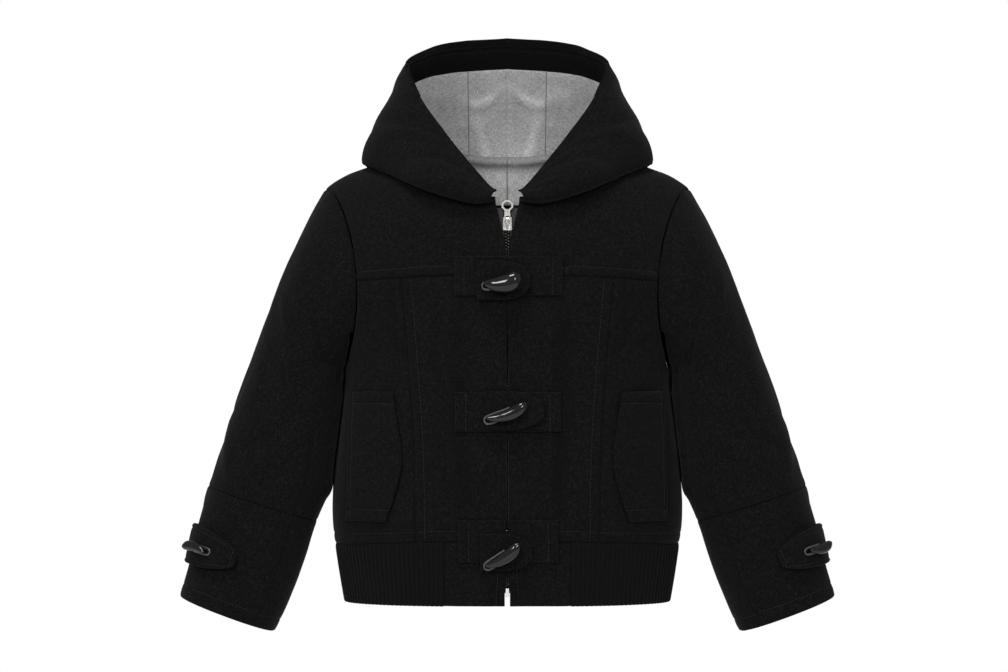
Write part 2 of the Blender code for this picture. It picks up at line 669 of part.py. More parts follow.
def build_sleeves(wool):
    front = list(zip(ARM_ANGLES, ARM_FRONT))
    back = [(-angle, cell) for angle, cell in zip(ARM_ANGLES, ARM_BACK)]
    outer = back[SLEEVE_SEAM_ROW:] + front[SLEEVE_SEAM_ROW:-1][::-1]
    under = front[: SLEEVE_SEAM_ROW + 1][::-1] + [(a + 2 * math.pi, c) for a, c in back[1 : SLEEVE_SEAM_ROW + 1]]
    for side, sign in SIDES:
        for piece, columns in (("outer", outer), ("under", under)):
            for part, rows in (("upper", SLEEVE_ROWS), ("lower", CUFF_ROWS)):
                grid = []
                for section in rows:
                    if section == 0:
                        cells = [armhole_cell(angle, cell) for angle, cell in columns]
                    else:
                        cells = [sleeve_at(angle, section) for angle, _ in columns]
                    grid.append([mirrored(cell, sign) for cell in cells])
                edges = ("bottom", "top", "start", "end") if part == "upper" else ("bottom", "start", "end")
                cloth(f"sleeve_{part}_{piece}_{side}", grid, WOOL, wool, edges)


# ---------------------------------------------------------------- hood
def bezier(a, b, c, d, t):
    return a * (1 - t) ** 3 + 3 * b * t * (1 - t) ** 2 + 3 * c * t * t * (1 - t) + d * t**3


def clear_of_shoulder(point, edge_share):
    """The point, pushed out to the hood's gap from the body's shoulders where it lies inside it. The
    gap grows over the shoulder's ridge, away from the neckline."""
    x, y, z = point
    gap = HOOD_LAY + RIDGE_LAY * ease(1.0 - abs(y) / RIDGE_REACH) * ease((1.0 - edge_share) / 0.3)
    distance = abs(x)
    if distance > 0.166:
        return point
    angle = angle_of(distance, 0.0)
    base = body(angle if y < 0 else math.pi - angle, 0.0)
    depth, low = abs(base[1]) + gap, base[2]
    high = RIDGE(distance) + gap
    if z <= low:
        return point
    roundness = FRONT_DOME
    if y > 0:
        roundness = BACK_DOME + (FRONT_DOME - BACK_DOME) * ease((distance - 0.05) / 0.07)
    inside = (abs(y) / depth) ** roundness + ((z - low) / (high - low)) ** roundness
    if inside >= 1.0:
        return point
    grow = inside ** (-1 / roundness)
    return np.array((x, y * grow, low + (z - low) * grow))


def hood(way, run):
    """Outer surface of the hood's left half: way is round the opening from the zip to the middle of
    the back, run goes from the rim (0) over the fold (0.5) and under it to the neckline (1)."""
    row = HOOD(way)
    rim, fold = row[0:3], row[3:6]
    at_rim, over, under = row[6:9]
    tuck, fall = row[9] / MM, row[10] / MM
    neck, normal, inward = neckline(way)
    neck = neck + normal * HOOD_LAY
    leave = unit(np.array((fold[0] - rim[0], fold[1] - rim[1], 0.0)) + 1e-9)
    leave = unit(leave + np.array((0.0, 0.0, fall)))
    down = unit(np.array((0.0, tuck, -1.0)))
    if run <= 0.5:
        return bezier(rim, rim + leave * at_rim, fold - down * over, fold, run * 2)
    reach = np.linalg.norm(fold - neck) * 0.35
    point = bezier(fold, fold + down * under, neck - inward * reach, neck, run * 2 - 1)
    return clear_of_shoulder(point, run * 2 - 1)


def hood_at(way, run):
    """Point and outward normal of the hood. Its lower edge lies flat on the body."""
    if run > 0.999:
        return hood(way, 1.0), -neckline(way)[1]
    step = 2e-3
    a, b = min(way + step, 1.0), max(way - step, 0.0)
    c, d = min(run + step, 1.0), max(run - step, 0.0)
    du = hood(a, run) - hood(b, run)
    dv = hood(way, c) - hood(way, d)
    if way > 0.999:
        du = np.array((-1.0, 0.0, 0.0)) * np.linalg.norm(du)
    normal = unit(np.cross(dv, du))
    return hood(way, run), normal


def facing_edge(way):
    """Run of the hood where its facing, or the bare edge on its fronts, meets the lining."""
    row = HOOD(way)
    rim, fold = row[0:3], row[3:6]
    length = np.linalg.norm(fold - rim) + 0.3 * (row[6] + row[7])
    depth = EDGE_SHOW + (FACING_DEPTH - EDGE_SHOW) * ease((way - FACING_START) / 0.09)
    return 0.5 * depth / length


def hood_run(way, row):
    """Run of the hood at one of its rows, which follow the facing's edge and the fold."""
    edge = facing_edge(way)
    runs = [0.0, edge / 2, edge]
    runs += [edge + (0.5 - edge) * share for share in UPPER_SHARES]
    runs += [0.5 + 0.5 * share for share in LOWER_SHARES]
    return runs[row]


HOOD_ROW_COUNT = 3 + len(UPPER_SHARES) + len(LOWER_SHARES)
FACING_ROW = 2               # row of the facing's edge


def strip_way(row):
    """Way round the hood where the lining's seam crosses a row, at its distance from the middle plane."""
    low, high = HOOD_CORNER + 0.04, 0.97
    for _ in range(24):
        way = (low + high) / 2
        if hood(way, hood_run(way, row))[0] > LINING_SEAM:
            low = way
        else:
            high = way
    return low


def hood_grid(first, last, spans):
    """Rows of the hood from one row to another over spans of its half, as (point, normal) cells. A
    span is side, centre (corner to the lining's seam) or strip (seam to the middle)."""
    grid = []
    for row in range(first, last + 1):
        seam = strip_way(row)
        ways = {
            "side": list(HOOD_SIDE_COLUMNS),
            "centre": [HOOD_CORNER + (seam - HOOD_CORNER) * share for share in HOOD_CENTRE_SHARES],
            "strip": [seam] + [seam + (1 - seam) * share for share in HOOD_STRIP_SHARES],
        }
        line = []
        for span in spans:
            line += ways[span][1 if line else 0:]
        grid.append([hood_at(way, hood_run(way, row)) for way in line])
    return grid


def both_halves(grid):
    """A grid of the left half with its mirror image before it, joined on the middle plane."""
    return [[mirrored(cell, -1) for cell in row] + row[-2::-1] for row in grid]


def left_half(grid):
    """Columns of the wearer's left half of a grid made by both_halves."""
    return range(len(grid[0]) - 1, 2 * len(grid[0]) - 2)


def build_hood(wool, lining):
    last = HOOD_ROW_COUNT - 1
    inset = -(WOOL + SEAM)
    flank = hood_grid(0, last, ("side",))
    middle = hood_grid(0, last, ("centre", "strip"))
    facing = hood_grid(0, FACING_ROW, ("side", "centre", "strip"))
    facing = [row[len(HOOD_SIDE_COLUMNS) - 3:] for row in facing]
    lining_side = [row[LINING_START:] for row in hood_grid(FACING_ROW, last, ("side", "centre"))]
    lining_strip = hood_grid(FACING_ROW, last, ("strip",))
    for side, sign in SIDES:
        cloth(f"hood_side_{side}", flipped(flank, sign), WOOL, wool, ("end",))
        cloth(f"hood_lining_side_{side}", flipped(lining_side, sign), LINING, lining, ("bottom", "end"), inset)
        cloth(f"hood_lining_strip_{side}", flipped(lining_strip, sign), LINING, lining,
              ("bottom", "start", "end"), inset)
    cloth("hood_centre", both_halves(middle), WOOL, wool, ("start", "end"), turned=left_half(middle))
    cloth("hood_facing", both_halves(facing), LINING, wool, ("top",), inset, left_half(facing))


def flipped(grid, sign):
    return [[mirrored(cell, sign) for cell in row] for row in grid]


def build_neck_lining(lining):
    """Lining inside the back of the neck. Its upper end covers the raw edges at the neck seam."""
    inset, top = WOOL + SEAM, HOOD_LAY + WOOL - SEAM
    shares = BACK_COLUMNS[:NECK_COLUMNS]
    ways = [1 - (1 - HOOD_FRONT_SHARE) * math.asin(share / BACK_COLUMNS[4]) * 2 / math.pi for share in shares]
    turn = [neckline(way) for way in ways]
    for side, sign in SIDES:
        outer, inner = [], []
        for row in NECK_ROWS:
            levels = [row * neck_level(share, BACK_COLUMNS[4], BACK_NECK_RISE) for share in shares]
            cells = [body_at(back_angle(share, level), level) for share, level in zip(shares, levels)]
            outer.append([p - n * inset for p, n in cells])
            inner.append([p - n * (inset + LINING) for p, n in cells])
        outer.append([p + inward * NECK_CLEAR - n * inset for p, n, inward in turn])
        inner.append([p + inward * (NECK_CLEAR + LINING) - n * (inset + LINING) for p, n, inward in turn])
        outer.append([p + inward * NECK_CLEAR + n * top for p, n, inward in turn])
        inner.append([p + inward * (NECK_CLEAR + LINING) + n * top for p, n, inward in turn])
        flip = np.array((sign, 1.0, 1.0))
        outer, inner = np.array(outer) * flip, np.array(inner) * flip
        shift = trim(outer, ("start",)) - outer
        wall(f"neck_lining_{side}", outer + shift, inner + shift, lining)


# ---------------------------------------------------------------- pockets, tabs and straps
def build_pockets(wool):
    for side, sign in SIDES:
        outer, inner = [], []
        for height in np.linspace(-320, -203, 8) * MM:
            free, sewn = POCKET(height)
            cells, lifts = [], []
            for share in (0, 0.12, 0.34, 0.56, 0.78, 1):
                cells.append(front_at(sign * (free + (sewn - free) * share), height))
                lifts.append(LAY + POCKET_GAPE * (1 - share) ** 3)
            outer.append([p + n * (lift + TAB_WALL) for (p, n), lift in zip(cells, lifts)])
            inner.append([p + n * lift for (p, n), lift in zip(cells, lifts)])
        wall(f"pocket_{side}", np.array(outer), np.array(inner), wool)


def tab_lift(share):
    """Gap under an overlapping tab: it lies on the patch where it is sewn and its tip stands proud."""
    return 2 * LAY + TAB_WALL + TAB_PROUD * share**2


def build_tabs(wool):
    for row, (right_x, left_x, top, foot, tab_x, tip_x, tab_top, tab_foot) in TAB_ROWS.items():
        for side, outer_x, sign in (("right", right_x, -1), ("left", left_x, 1)):
            grid = []
            for height in np.linspace(foot, top, 5) * MM:
                places = [sign * 1.4 + (outer_x - sign * 1.4) * k for k in (0, 0.2, 0.4, 0.6, 0.8, 1)]
                grid.append([front_at(x * MM, height) for x in places])
            cloth(f"tab_patch_{row}_{side}", grid, TAB_WALL, wool, (), lift=LAY + TAB_WALL)
        outer, inner = [], []
        middle, half = (tab_top + tab_foot) / 2, (tab_top - tab_foot) / 2
        for across in (-1, -0.6, 0, 0.6, 1):
            line_out, line_in = [], []
            for share in TAB_SHARES:
                narrow = (1 - max(0.0, (share - TAB_ROUND) / (1.02 - TAB_ROUND)) ** 2.4) ** 0.5
                place = (tab_x + (tip_x - tab_x) * share) * MM
                point, normal = front_at(place, (middle + across * half * narrow) * MM)
                line_in.append(point + normal * tab_lift(share))
                line_out.append(point + normal * (tab_lift(share) + TAB_WALL))
            outer.append(line_out)
            inner.append(line_in)
        wall(f"tab_{row}", np.array(outer), np.array(inner), wool)


def strap_lift(share):
    """Gap under a cuff strap: sewn down behind the sleeve, loose round its outside and at its tip."""
    return STRAP_LAY + 1.2 * MM * ease(share / 0.35) + 1.4 * MM * ease((share - 0.6) / 0.4)


def strap_place(share, across):
    """Angle and section of the sleeve under a place of the cuff strap."""
    narrow = (1 - max(0.0, (share - STRAP_ROUND) / (1.02 - STRAP_ROUND)) ** 2.2) ** 0.5
    first, last = STRAP_ANGLES
    return (first + (last - first) * share) * RAD, STRAP_SECTION - 0.15 * share + across * 0.52 * narrow


def build_straps(wool):
    for side, sign in SIDES:
        outer, inner = [], []
        for across in (-1, -0.5, 0, 0.5, 1):
            cells = [sleeve_at(*strap_place(share, across)) for share in STRAP_SHARES]
            cells = [mirrored(cell, sign) for cell in cells]
            lifts = [strap_lift(share) for share in STRAP_SHARES]
            outer.append([p + n * (lift + STRAP_WALL) for (p, n), lift in zip(cells, lifts)])
            inner.append([p + n * lift for (p, n), lift in zip(cells, lifts)])
        wall(f"cuff_strap_{side}", np.array(outer), np.array(inner), wool)


# ---------------------------------------------------------------- toggles and their cords
def seat(point, normal, direction):
    """A place on a surface: its centre, its direction laid on the surface, and the way up."""
    return point, unit(direction - normal * np.dot(direction, normal)), normal


def tree_of(name):
    mesh = bpy.data.objects[name].data
    return BVHTree.FromPolygons([v.co for v in mesh.vertices], [tuple(f.vertices) for f in mesh.polygons])


def cord_route(place, length, width, carrier):
    """Centre line of a cord loop: two strands from under the toggle, joined by a round bend beyond
    its narrow end, each point dropped until the cord lies on its carrier."""
    centre, along, up = place
    across = np.cross(up, along)
    bend = -(length / 2 - width / 2 + CORD_SHOW)
    strand = [CORD_END * length, 0.0, bend * 0.33, bend * 0.67]
    route = [(run, 1.0) for run in strand]
    route += [(bend - width / 2 * math.sin(a), math.cos(a)) for a in np.linspace(0, math.pi, 5)]
    route += [(run, -1.0) for run in reversed(strand)]
    tree, height, points = tree_of(carrier), 0.0, []
    for run, side in route:
        point = centre + along * run + across * side * width / 2
        hit = tree.ray_cast(Vector(point + up * 20 * MM), Vector(-up))[0]
        if hit is not None:
            height = np.dot(np.array(hit) - point, up)
        points.append(point + up * (height + SEAM + CORD_RADIUS))
    return np.array(points)


def build_cord(name, route, finish):
    curve = bpy.data.curves.new(name, "CURVE")
    curve.dimensions = "3D"
    curve.bevel_depth = CORD_RADIUS
    curve.bevel_resolution = 2
    curve.use_fill_caps = True
    line = curve.splines.new("POLY")
    line.points.add(len(route) - 1)
    for point, place in zip(line.points, route):
        point.co = (*place, 1.0)
    curve.materials.append(finish)
    bpy.data.collections["jacket"].objects.link(bpy.data.objects.new(name, curve))


def toggle_rings(place, length, radius):
    """Oval sections of a horn toggle along a slightly bowed line, from its narrow end."""
    centre, along, up = place
    across = np.cross(up, along)
    turns = np.arange(TOGGLE_SIDES) * 2 * math.pi / TOGGLE_SIDES
    rings = []
    for step in np.linspace(0, 1, TOGGLE_SECTIONS):
        size = radius * HORN(step)
        bow = TOGGLE_BOW * length * (4 * step * (1 - step) - 0.5)
        middle = centre + along * length * (step - 0.5) - across * bow
        rings.append([middle + across * size * math.cos(a) + up * size * TOGGLE_FLAT * math.sin(a) for a in turns])
    return np.array(rings)


def clear_height(rings, up, route, carrier):
    """Height over its seat at which a toggle lies on its cord and clear of the carrier."""
    following = np.roll(rings, -1, axis=1)
    fine = np.concatenate([rings + (following - rings) * k / 4 for k in range(4)], axis=1)
    spots = np.concatenate([fine[:-1] + (fine[1:] - fine[:-1]) * k / 4 for k in range(4)]).reshape(-1, 3)
    start, step = route[:-1], np.diff(route, axis=0)
    tree = tree_of(carrier)
    low, high = 0.0, 20 * MM
    for _ in range(14):
        height = (low + high) / 2
        moved = spots + up * height
        away = moved[:, None] - start[None]
        share = np.clip((away * step).sum(-1) / (step * step).sum(-1), 0, 1)
        to_cord = np.linalg.norm(away - share[..., None] * step, axis=-1).min() - CORD_RADIUS
        to_tab = min(tree.find_nearest(Vector(spot))[3] for spot in moved[::3])
        if min(to_cord, to_tab) < SEAM:
            low = height
        else:
            high = height
    return high


def build_toggle(name, place, length, radius, route, carrier, horn):
    """A toggle that lies along its cord, dropped on it."""
    point, _, up = place
    middle = len(route) // 2
    along = unit((route[0] + route[-1]) / 2 - route[middle])
    lean = unit(up - along * np.dot(up, along))
    centre = point + up * np.dot(route[0] - point, up)
    rings = toggle_rings((centre, along, lean), length, radius)
    rings = rings + lean * clear_height(rings, lean, route, carrier)
    count = TOGGLE_SIDES
    faces = [tuple(range(count)), tuple(range((TOGGLE_SECTIONS - 1) * count, TOGGLE_SECTIONS * count))]
    for i in range(TOGGLE_SECTIONS - 1):
        for j in range(count):
            k = (j + 1) % count
            faces.append((i * count + j, i * count + k, (i + 1) * count + k, (i + 1) * count + j))
    add_mesh(name, rings.reshape(-1, 3), faces, horn)


def build_toggles(horn, cord):
    places = {}
    for row, (x, z, tilt, length, radius) in TOGGLES.items():
        point, normal = front_at(x * MM, z * MM)
        direction = np.array((math.cos(tilt * RAD), 0.0, math.sin(tilt * RAD)))
        place = seat(point, normal, direction)
        places[row] = (place, length * MM, radius * MM, CORD_WIDTH, f"tab_{row}")
    for side, sign in SIDES:
        cell = sleeve_at(*strap_place(CUFF_TOGGLE_SHARE, 0.05))
        direction = np.array((math.cos(CUFF_TOGGLE_TILT * RAD), 0.0, math.sin(CUFF_TOGGLE_TILT * RAD)))
        flip = np.array((sign, 1.0, 1.0))
        place = tuple(vector * flip for vector in seat(*cell, direction))
        places[f"cuff_{side}"] = (place, CUFF_TOGGLE_LENGTH, CUFF_TOGGLE_RADIUS, CUFF_CORD_WIDTH, f"cuff_strap_{side}")
    for name, (place, length, radius, width, carrier) in places.items():
        route = cord_route(place, length, width, carrier)
        build_cord(f"cord_loop_{name}", route, cord)
        build_toggle(f"toggle_{name}", place, length, radius, route, carrier, horn)


# ---------------------------------------------------------------- zip
def build_tapes(tape, metal):
    heights = [h * MM for h in (-390, -372, -343, -326, -300, -270, -240, -212, -184, -150, -127, -106.5, -90, -76,
                                -64, -52, -44)] + [ZIP_TOP]
    for side, sign in SIDES:
        first = CHAIN_WIDTH / 2 + SEAM
        grid = [[front_at(sign * (first + TAPE_WIDTH * k), height) for k in (0, 0.5, 1)] for height in heights]
        cloth(f"zip_tape_{side}", grid, TAPE_WALL, tape, (), lift=-(BLOCK_WALL + SEAM))
    chain = [h for h in heights if STOP_TOP + SEAM < h < CHAIN_TOP]
    chain = [STOP_TOP + SEAM] + chain + [CHAIN_TOP]
    grid = [[front_at(CHAIN_WIDTH / 2 * k, height) for k in (-1, 1)] for height in chain]
    cloth("zip_chain", grid, CHAIN_WALL, metal, (), lift=-(BLOCK_WALL + SEAM))


def box(name, low, high):
    """A box between two corners, in millimetres."""
    centre = [(a + b) / 2 * MM for a, b in zip(low, high)]
    bpy.ops.mesh.primitive_cube_add(size=1.0, location=centre)
    made = bpy.context.object
    made.name = name
    made.scale = [(b - a) * MM for a, b in zip(low, high)]
    bpy.ops.object.transform_apply(location=True, rotation=False, scale=True)
    return made


def plate(name, outlines, half, turned):
    """A flat plate from outlines in millimetres, the first one its edge and the others its holes."""
    curve = bpy.data.curves.new(name, "CURVE")
    curve.dimensions = "2D"
    curve.fill_mode = "BOTH"
    curve.extrude = half * MM
    for outline in outlines:
        line = curve.splines.new("POLY")
        line.use_cyclic_u = True
        line.points.add(len(outline) - 1)
        for point, (a, b) in zip(line.points, outline):
            point.co = (a * MM, b * MM, 0.0, 1.0)
    drawn = bpy.data.objects.new(name + "_outline", curve)
    bpy.context.scene.collection.objects.link(drawn)
    drawn.rotation_euler = turned
    bpy.context.view_layer.update()
    mesh = bpy.data.meshes.new_from_object(drawn.evaluated_get(bpy.context.evaluated_depsgraph_get()))
    mesh.transform(drawn.matrix_world)
    bpy.data.objects.remove(drawn, do_unlink=True)
    work = bmesh.new()
    work.from_mesh(mesh)
    bmesh.ops.remove_doubles(work, verts=work.verts, dist=1e-6)
    bmesh.ops.recalc_face_normals(work, faces=work.faces)
    work.to_mesh(mesh)
    work.free()
    made = bpy.data.objects.new(name, mesh)
    bpy.context.scene.collection.objects.link(made)
    return made


def union(name, pieces, finish, location, lean):
    """One body from overlapping pieces, in the jacket's collection, leaning back about its own X."""
    body_piece = pieces[0]
    for other in pieces[1:]:
        joined = body_piece.modifiers.new(other.name, "BOOLEAN")
        joined.operation = "UNION"
        joined.solver = "EXACT"
        joined.object = other
    bpy.context.view_layer.update()
    mesh = bpy.data.meshes.new_from_object(body_piece.evaluated_get(bpy.context.evaluated_depsgraph_get()))
    for piece in pieces:
        bpy.data.objects.remove(piece, do_unlink=True)
    mesh.materials.clear()
    mesh.materials.append(finish)
    made = bpy.data.objects.new(name, mesh)
    bpy.data.collections["jacket"].objects.link(made)
    made.location = location
    made.rotation_euler = (-lean, 0.0, 0.0)
    return made


def build_zip_hardware(metal):
    """Slider, pull tab and bottom stop. In the slider's own frame y is the depth behind the front's
    outer face and z runs up the zip."""
    point, normal = front_at(0.0, SLIDER_HEIGHT)
    lean = math.asin(normal[2])
    chain_front, chain_back = (BLOCK_WALL + SEAM) / MM, (BLOCK_WALL + SEAM + CHAIN_WALL) / MM
    gap = SEAM / MM
    face = chain_front - gap - SLIDER_PLATE
    front_plate = box("slider_front", (-4.0, face, -6.0), (4.0, chain_front - gap, 6.0))
    back_plate = box("slider_back", (-4.0, chain_back + gap, -6.0), (4.0, chain_back + gap + SLIDER_PLATE, 6.0))
    post = box("slider_post", (-1.2, face + 0.3, 2.2), (1.2, chain_back + gap + 0.3, 5.4))
    bridge_outline = [(face + 0.3, -5.6), (face - 1.0, -5.2), (face - 2.8, 2.2), (face - 2.8, 4.5),
                      (face - 2.3, 5.1), (face + 0.3, 5.2), (face + 0.3, 4.2), (face - 1.9, 4.2),
                      (face - 1.9, 2.2), (face - 0.3, -3.2), (face + 0.3, -3.4)]
    bridge = plate("slider_bridge", [bridge_outline], 1.3, (90 * RAD, 0.0, 90 * RAD))
    union("zip_slider", [front_plate, back_plate, post, bridge], metal, point, lean)

    hinge = np.array((0.0, (face - 1.05) * MM, PULL_HINGE * MM))
    turned = np.array((0.0, hinge[1] * math.cos(lean) + hinge[2] * math.sin(lean),
                       hinge[2] * math.cos(lean) - hinge[1] * math.sin(lean)))
    ring = [(PULL_RING * math.cos(a), PULL_CENTRE + PULL_RING * math.sin(a))
            for a in np.linspace(-65, 245, 8) * RAD]
    hole = [(PULL_HOLE * math.cos(a), PULL_CENTRE + PULL_HOLE * math.sin(a))
            for a in (np.arange(8) + 0.5) * 45 * RAD]
    edge = [(1.65, -0.8), (2.75, -0.8), (2.75, 4.2)] + ring
    edge += [(-2.75, 4.2), (-2.75, -0.8), (-1.65, -0.8), (-1.65, 3.5), (1.65, 3.5)]
    tab = plate("pull_plate", [edge, hole], 0.55, (90 * RAD, 0.0, 0.0))
    bpy.ops.mesh.primitive_cylinder_add(vertices=12, radius=0.5 * MM, depth=4.4 * MM, rotation=(0.0, 90 * RAD, 0.0))
    pin = bpy.context.object
    bpy.ops.object.transform_apply(location=False, rotation=True, scale=False)
    union("zip_pull_tab", [tab, pin], metal, point + turned, PULL_LEAN * RAD)

    stop_point, stop_normal = front_at(0.0, (STOP_TOP + STOP_FOOT) / 2)
    half = (STOP_TOP - STOP_FOOT) / 2 / MM
    stop = box("stop", (-1.6, 0.6, -half), (1.6, chain_back, half))
    union("zip_bottom_stop", [stop], metal, stop_point, math.asin(stop_normal[2]))


def main():
    for old in list(bpy.data.objects):
        bpy.data.objects.remove(old, do_unlink=True)
    new_collection("jacket")
    wool = material("napped_wool", (0.009, 0.009, 0.010), 0.95)
    rib = material("rib_knit", (0.008, 0.008, 0.008), 0.9)
    lining = material("grey_lining", (0.33, 0.33, 0.335), 0.85)
    horn = material("black_horn", (0.01, 0.01, 0.01), 0.12)
    cord = material("black_cord", (0.012, 0.012, 0.012), 0.35)
    tape = material("zip_tape", (0.01, 0.01, 0.01), 0.8)
    metal = material("nickel", (0.62, 0.61, 0.58), 0.25, 1.0)
    build_fronts(wool)
    build_yokes(wool)
    build_back(wool)
    build_hem(wool, rib)
    build_sleeves(wool)
    build_hood(wool, lining)
    build_neck_lining(lining)
    build_pockets(wool)
    build_tabs(wool)
    build_straps(wool)
    build_toggles(horn, cord)
    build_tapes(tape, metal)
    build_zip_hardware(metal)


main()
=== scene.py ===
"""Looks of a child's hooded bomber jacket: black napped wool, ribbed hem, grey-lined hood, horn
toggles on tabs and a nickel zip.

Metres, +Z up, the front faces -Y and the wearer's left is +X. Tables are in millimetres, a row for
each section or crease, and their columns are named above them. The body, sleeves and hood are the
same surfaces as the solids', laid out finer, with the sewn relief and the creases on them.
"""

import copy
import functools
import math

import bmesh
import bpy
import numpy as np
from mathutils import Matrix, Vector, noise


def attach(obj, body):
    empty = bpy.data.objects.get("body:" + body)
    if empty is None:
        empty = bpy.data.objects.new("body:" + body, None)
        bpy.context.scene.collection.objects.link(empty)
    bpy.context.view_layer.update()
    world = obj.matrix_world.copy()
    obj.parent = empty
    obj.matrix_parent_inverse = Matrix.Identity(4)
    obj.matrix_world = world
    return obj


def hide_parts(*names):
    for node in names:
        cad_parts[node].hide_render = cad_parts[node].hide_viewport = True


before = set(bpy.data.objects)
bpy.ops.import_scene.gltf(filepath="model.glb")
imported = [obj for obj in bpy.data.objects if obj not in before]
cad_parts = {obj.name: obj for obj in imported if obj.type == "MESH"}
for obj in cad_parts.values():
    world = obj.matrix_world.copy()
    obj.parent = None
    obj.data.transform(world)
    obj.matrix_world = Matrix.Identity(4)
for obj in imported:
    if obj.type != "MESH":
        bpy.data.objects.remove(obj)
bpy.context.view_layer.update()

MM = 0.001
RAD = math.pi / 180.0
SIDES = (("right", -1), ("left", 1))

# ---------------------------------------------------------------- the jacket's sizes
WOOL = 2.4 * MM              # wall of the napped wool
LINING = 1.0 * MM            # wall of the woven lining
TAB_WALL = 2.0 * MM          # wall of tabs and pockets
SEAM = 0.3 * MM              # gap between two pieces at a seam
LAY = 0.6 * MM               # gap under a piece that lies on a panel
HOOD_LAY = 1.4 * MM          # gap under the hood where it lies on the shoulders
RIDGE_LAY = 2.4 * MM         # more gap over the shoulder's ridge, and how far from it that reaches
RIDGE_REACH = 55.0 * MM
SECTION_POWER = 2.3          # roundness of the body's sections, 2 is an ellipse

YOKE_HEIGHT = -106.5 * MM
HEM_SEAM = -343.0 * MM
HEM_EDGE = -396.0 * MM
UNDERARM = -184.0 * MM
FRONT_NECK_RISE = 0.36
BACK_NECK_RISE = 0.62
FRONT_DOME = 2.2
BACK_DOME = 3.4
NECK_REACH = 0.51            # angle of the neck point as a share of the centre front's
BACK_NECK = 0.41             # share of the back's half width where the neckline ends

RIB_PITCH = 4.4 * MM
RIB_RAISE = 0.9 * MM
RIB_WALL = 1.6 * MM
BLOCK_WIDTH = 57.0 * MM
BLOCK_WALL = 3.0 * MM
LINING_SEAM = 37.0 * MM
FACING_DEPTH = 57.0 * MM
EDGE_SHOW = 3.0 * MM
NECK_CLEAR = 1.2 * MM

TAPE_WIDTH = 11.0 * MM
TAPE_WALL = 1.0 * MM
CHAIN_WIDTH = 4.8 * MM
CHAIN_WALL = 1.9 * MM
ZIP_TOP = -37.0 * MM
ZIP_FOOT = -390.0 * MM
CHAIN_TOP = -51.0 * MM
STOP_TOP = -379.0 * MM
TOOTH_PITCH = 2.7 * MM

POCKET_GAPE = 1.2 * MM
TAB_PROUD = 3.0 * MM
TAB_ROUND = 0.42
STRAP_WALL = 2.6 * MM
STRAP_LAY = 1.1 * MM
STRAP_ANGLES = (-78.0, 84.0)
STRAP_SECTION = 7.5
STRAP_HALF = 0.52            # half the strap's width, in sections of the sleeve
STRAP_ROUND = 0.66

RIB_COLUMNS = 8              # columns of points across one rib
TOGGLE_SIDES = 32            # points round a toggle
WAY_UNITS, RUN_UNITS = 300, 200   # units of the hood's crease map, round the opening and outwards

# the neck lining, in shares of its own height and of the back's half width
NECK_LINING_REACH = 0.36
NECK_LINING_FOOT = 0.4
NECK_LINING_RISE = 0.4
NECK_TURN = 0.7              # where it begins to turn away from the back
NECK_STAND = 0.85            # where it stands up behind the neck seam
NECK_BEND = 0.15


class Profile:
    """A short table read as smooth curves: profile(key) gives the row's other columns there."""

    def __init__(self, *rows, scale=MM, key_scale=MM):
        data = np.array(rows, dtype=float)
        self.keys = data[:, 0] * key_scale
        self.values = data[:, 1:] * scale
        steps = np.diff(self.keys)[:, None]
        slopes = np.diff(self.values, axis=0) / steps
        inner = (slopes[:-1] * steps[1:] + slopes[1:] * steps[:-1]) / (steps[:-1] + steps[1:])
        self.slopes = np.vstack((slopes[:1], inner, slopes[-1:]))

    def __call__(self, key):
        key = min(max(key, self.keys[0]), self.keys[-1])
        i = min(int(np.searchsorted(self.keys, key, side="right")) - 1, len(self.keys) - 2)
        span = self.keys[i + 1] - self.keys[i]
        t = (key - self.keys[i]) / span
        result = (self.values[i] * (2 * t**3 - 3 * t**2 + 1) + self.slopes[i] * span * (t**3 - 2 * t**2 + t)
                  + self.values[i + 1] * (3 * t**2 - 2 * t**3) + self.slopes[i + 1] * span * (t**3 - t**2))
        return result if len(result) > 1 else float(result[0])


# height at the side, half width, front depth, back depth, rise of the middle over the side
BODY = Profile(
    (-402, 148.0, 79, 77, 0),
    (-370, 153.3, 83.5, 80.5, 3),
    (-343, 157.5, 87, 83, 6),
    (-330, 159.5, 89, 85, 5),
    (-298, 160.5, 90, 86, 3),
    (-270, 158.5, 90, 86, 1),
    (-240, 154.5, 89, 86, 0),
    (-212, 151.0, 88, 86, 0),
    (-184, 149.5, 87, 86, 0),
    (-168, 152.0, 86, 86, 2),
    (-150, 155.5, 86, 86, 4),
    (-127, 162.0, 86, 86, 7),
    (-106.5, 171.0, 85, 85, 8),
)
# height, distance of the armhole seam from the middle plane
ARMHOLE = Profile((-184, 149.5), (-180, 147.2), (-168, 143.5), (-150, 139), (-127, 136), (-106.5, 136))
# share of the shoulder's rise, distance of the armhole seam from the middle plane
SHOULDER_SEAM = Profile((0, 136), (0.2, 140.5), (0.4, 148), (0.6, 156), (0.8, 163.5), (1, 168), key_scale=1)
# distance from the middle plane, height of the shoulder's ridge
RIDGE = Profile((0, 24), (40, 21), (68, 16.5), (100, 9.5), (134, 0), (153.6, -8.4), (168, -18.4), (180, -30))
# height, distance of the princess seam from the middle plane
PRINCESS = Profile((-343, 82.5), (-272, 83), (-192, 87.5), (-106.5, 95.5))
# height, distance of the front edge from the middle plane
FRONT_EDGE = Profile(
    (-396, 2.3), (-384, 2.2), (-372, 0.9), (-343, 0.9), (-200, 0.9),
    (-84, 0.9), (-72, 1.6), (-52, 6.0), (-33, 10.5),
)
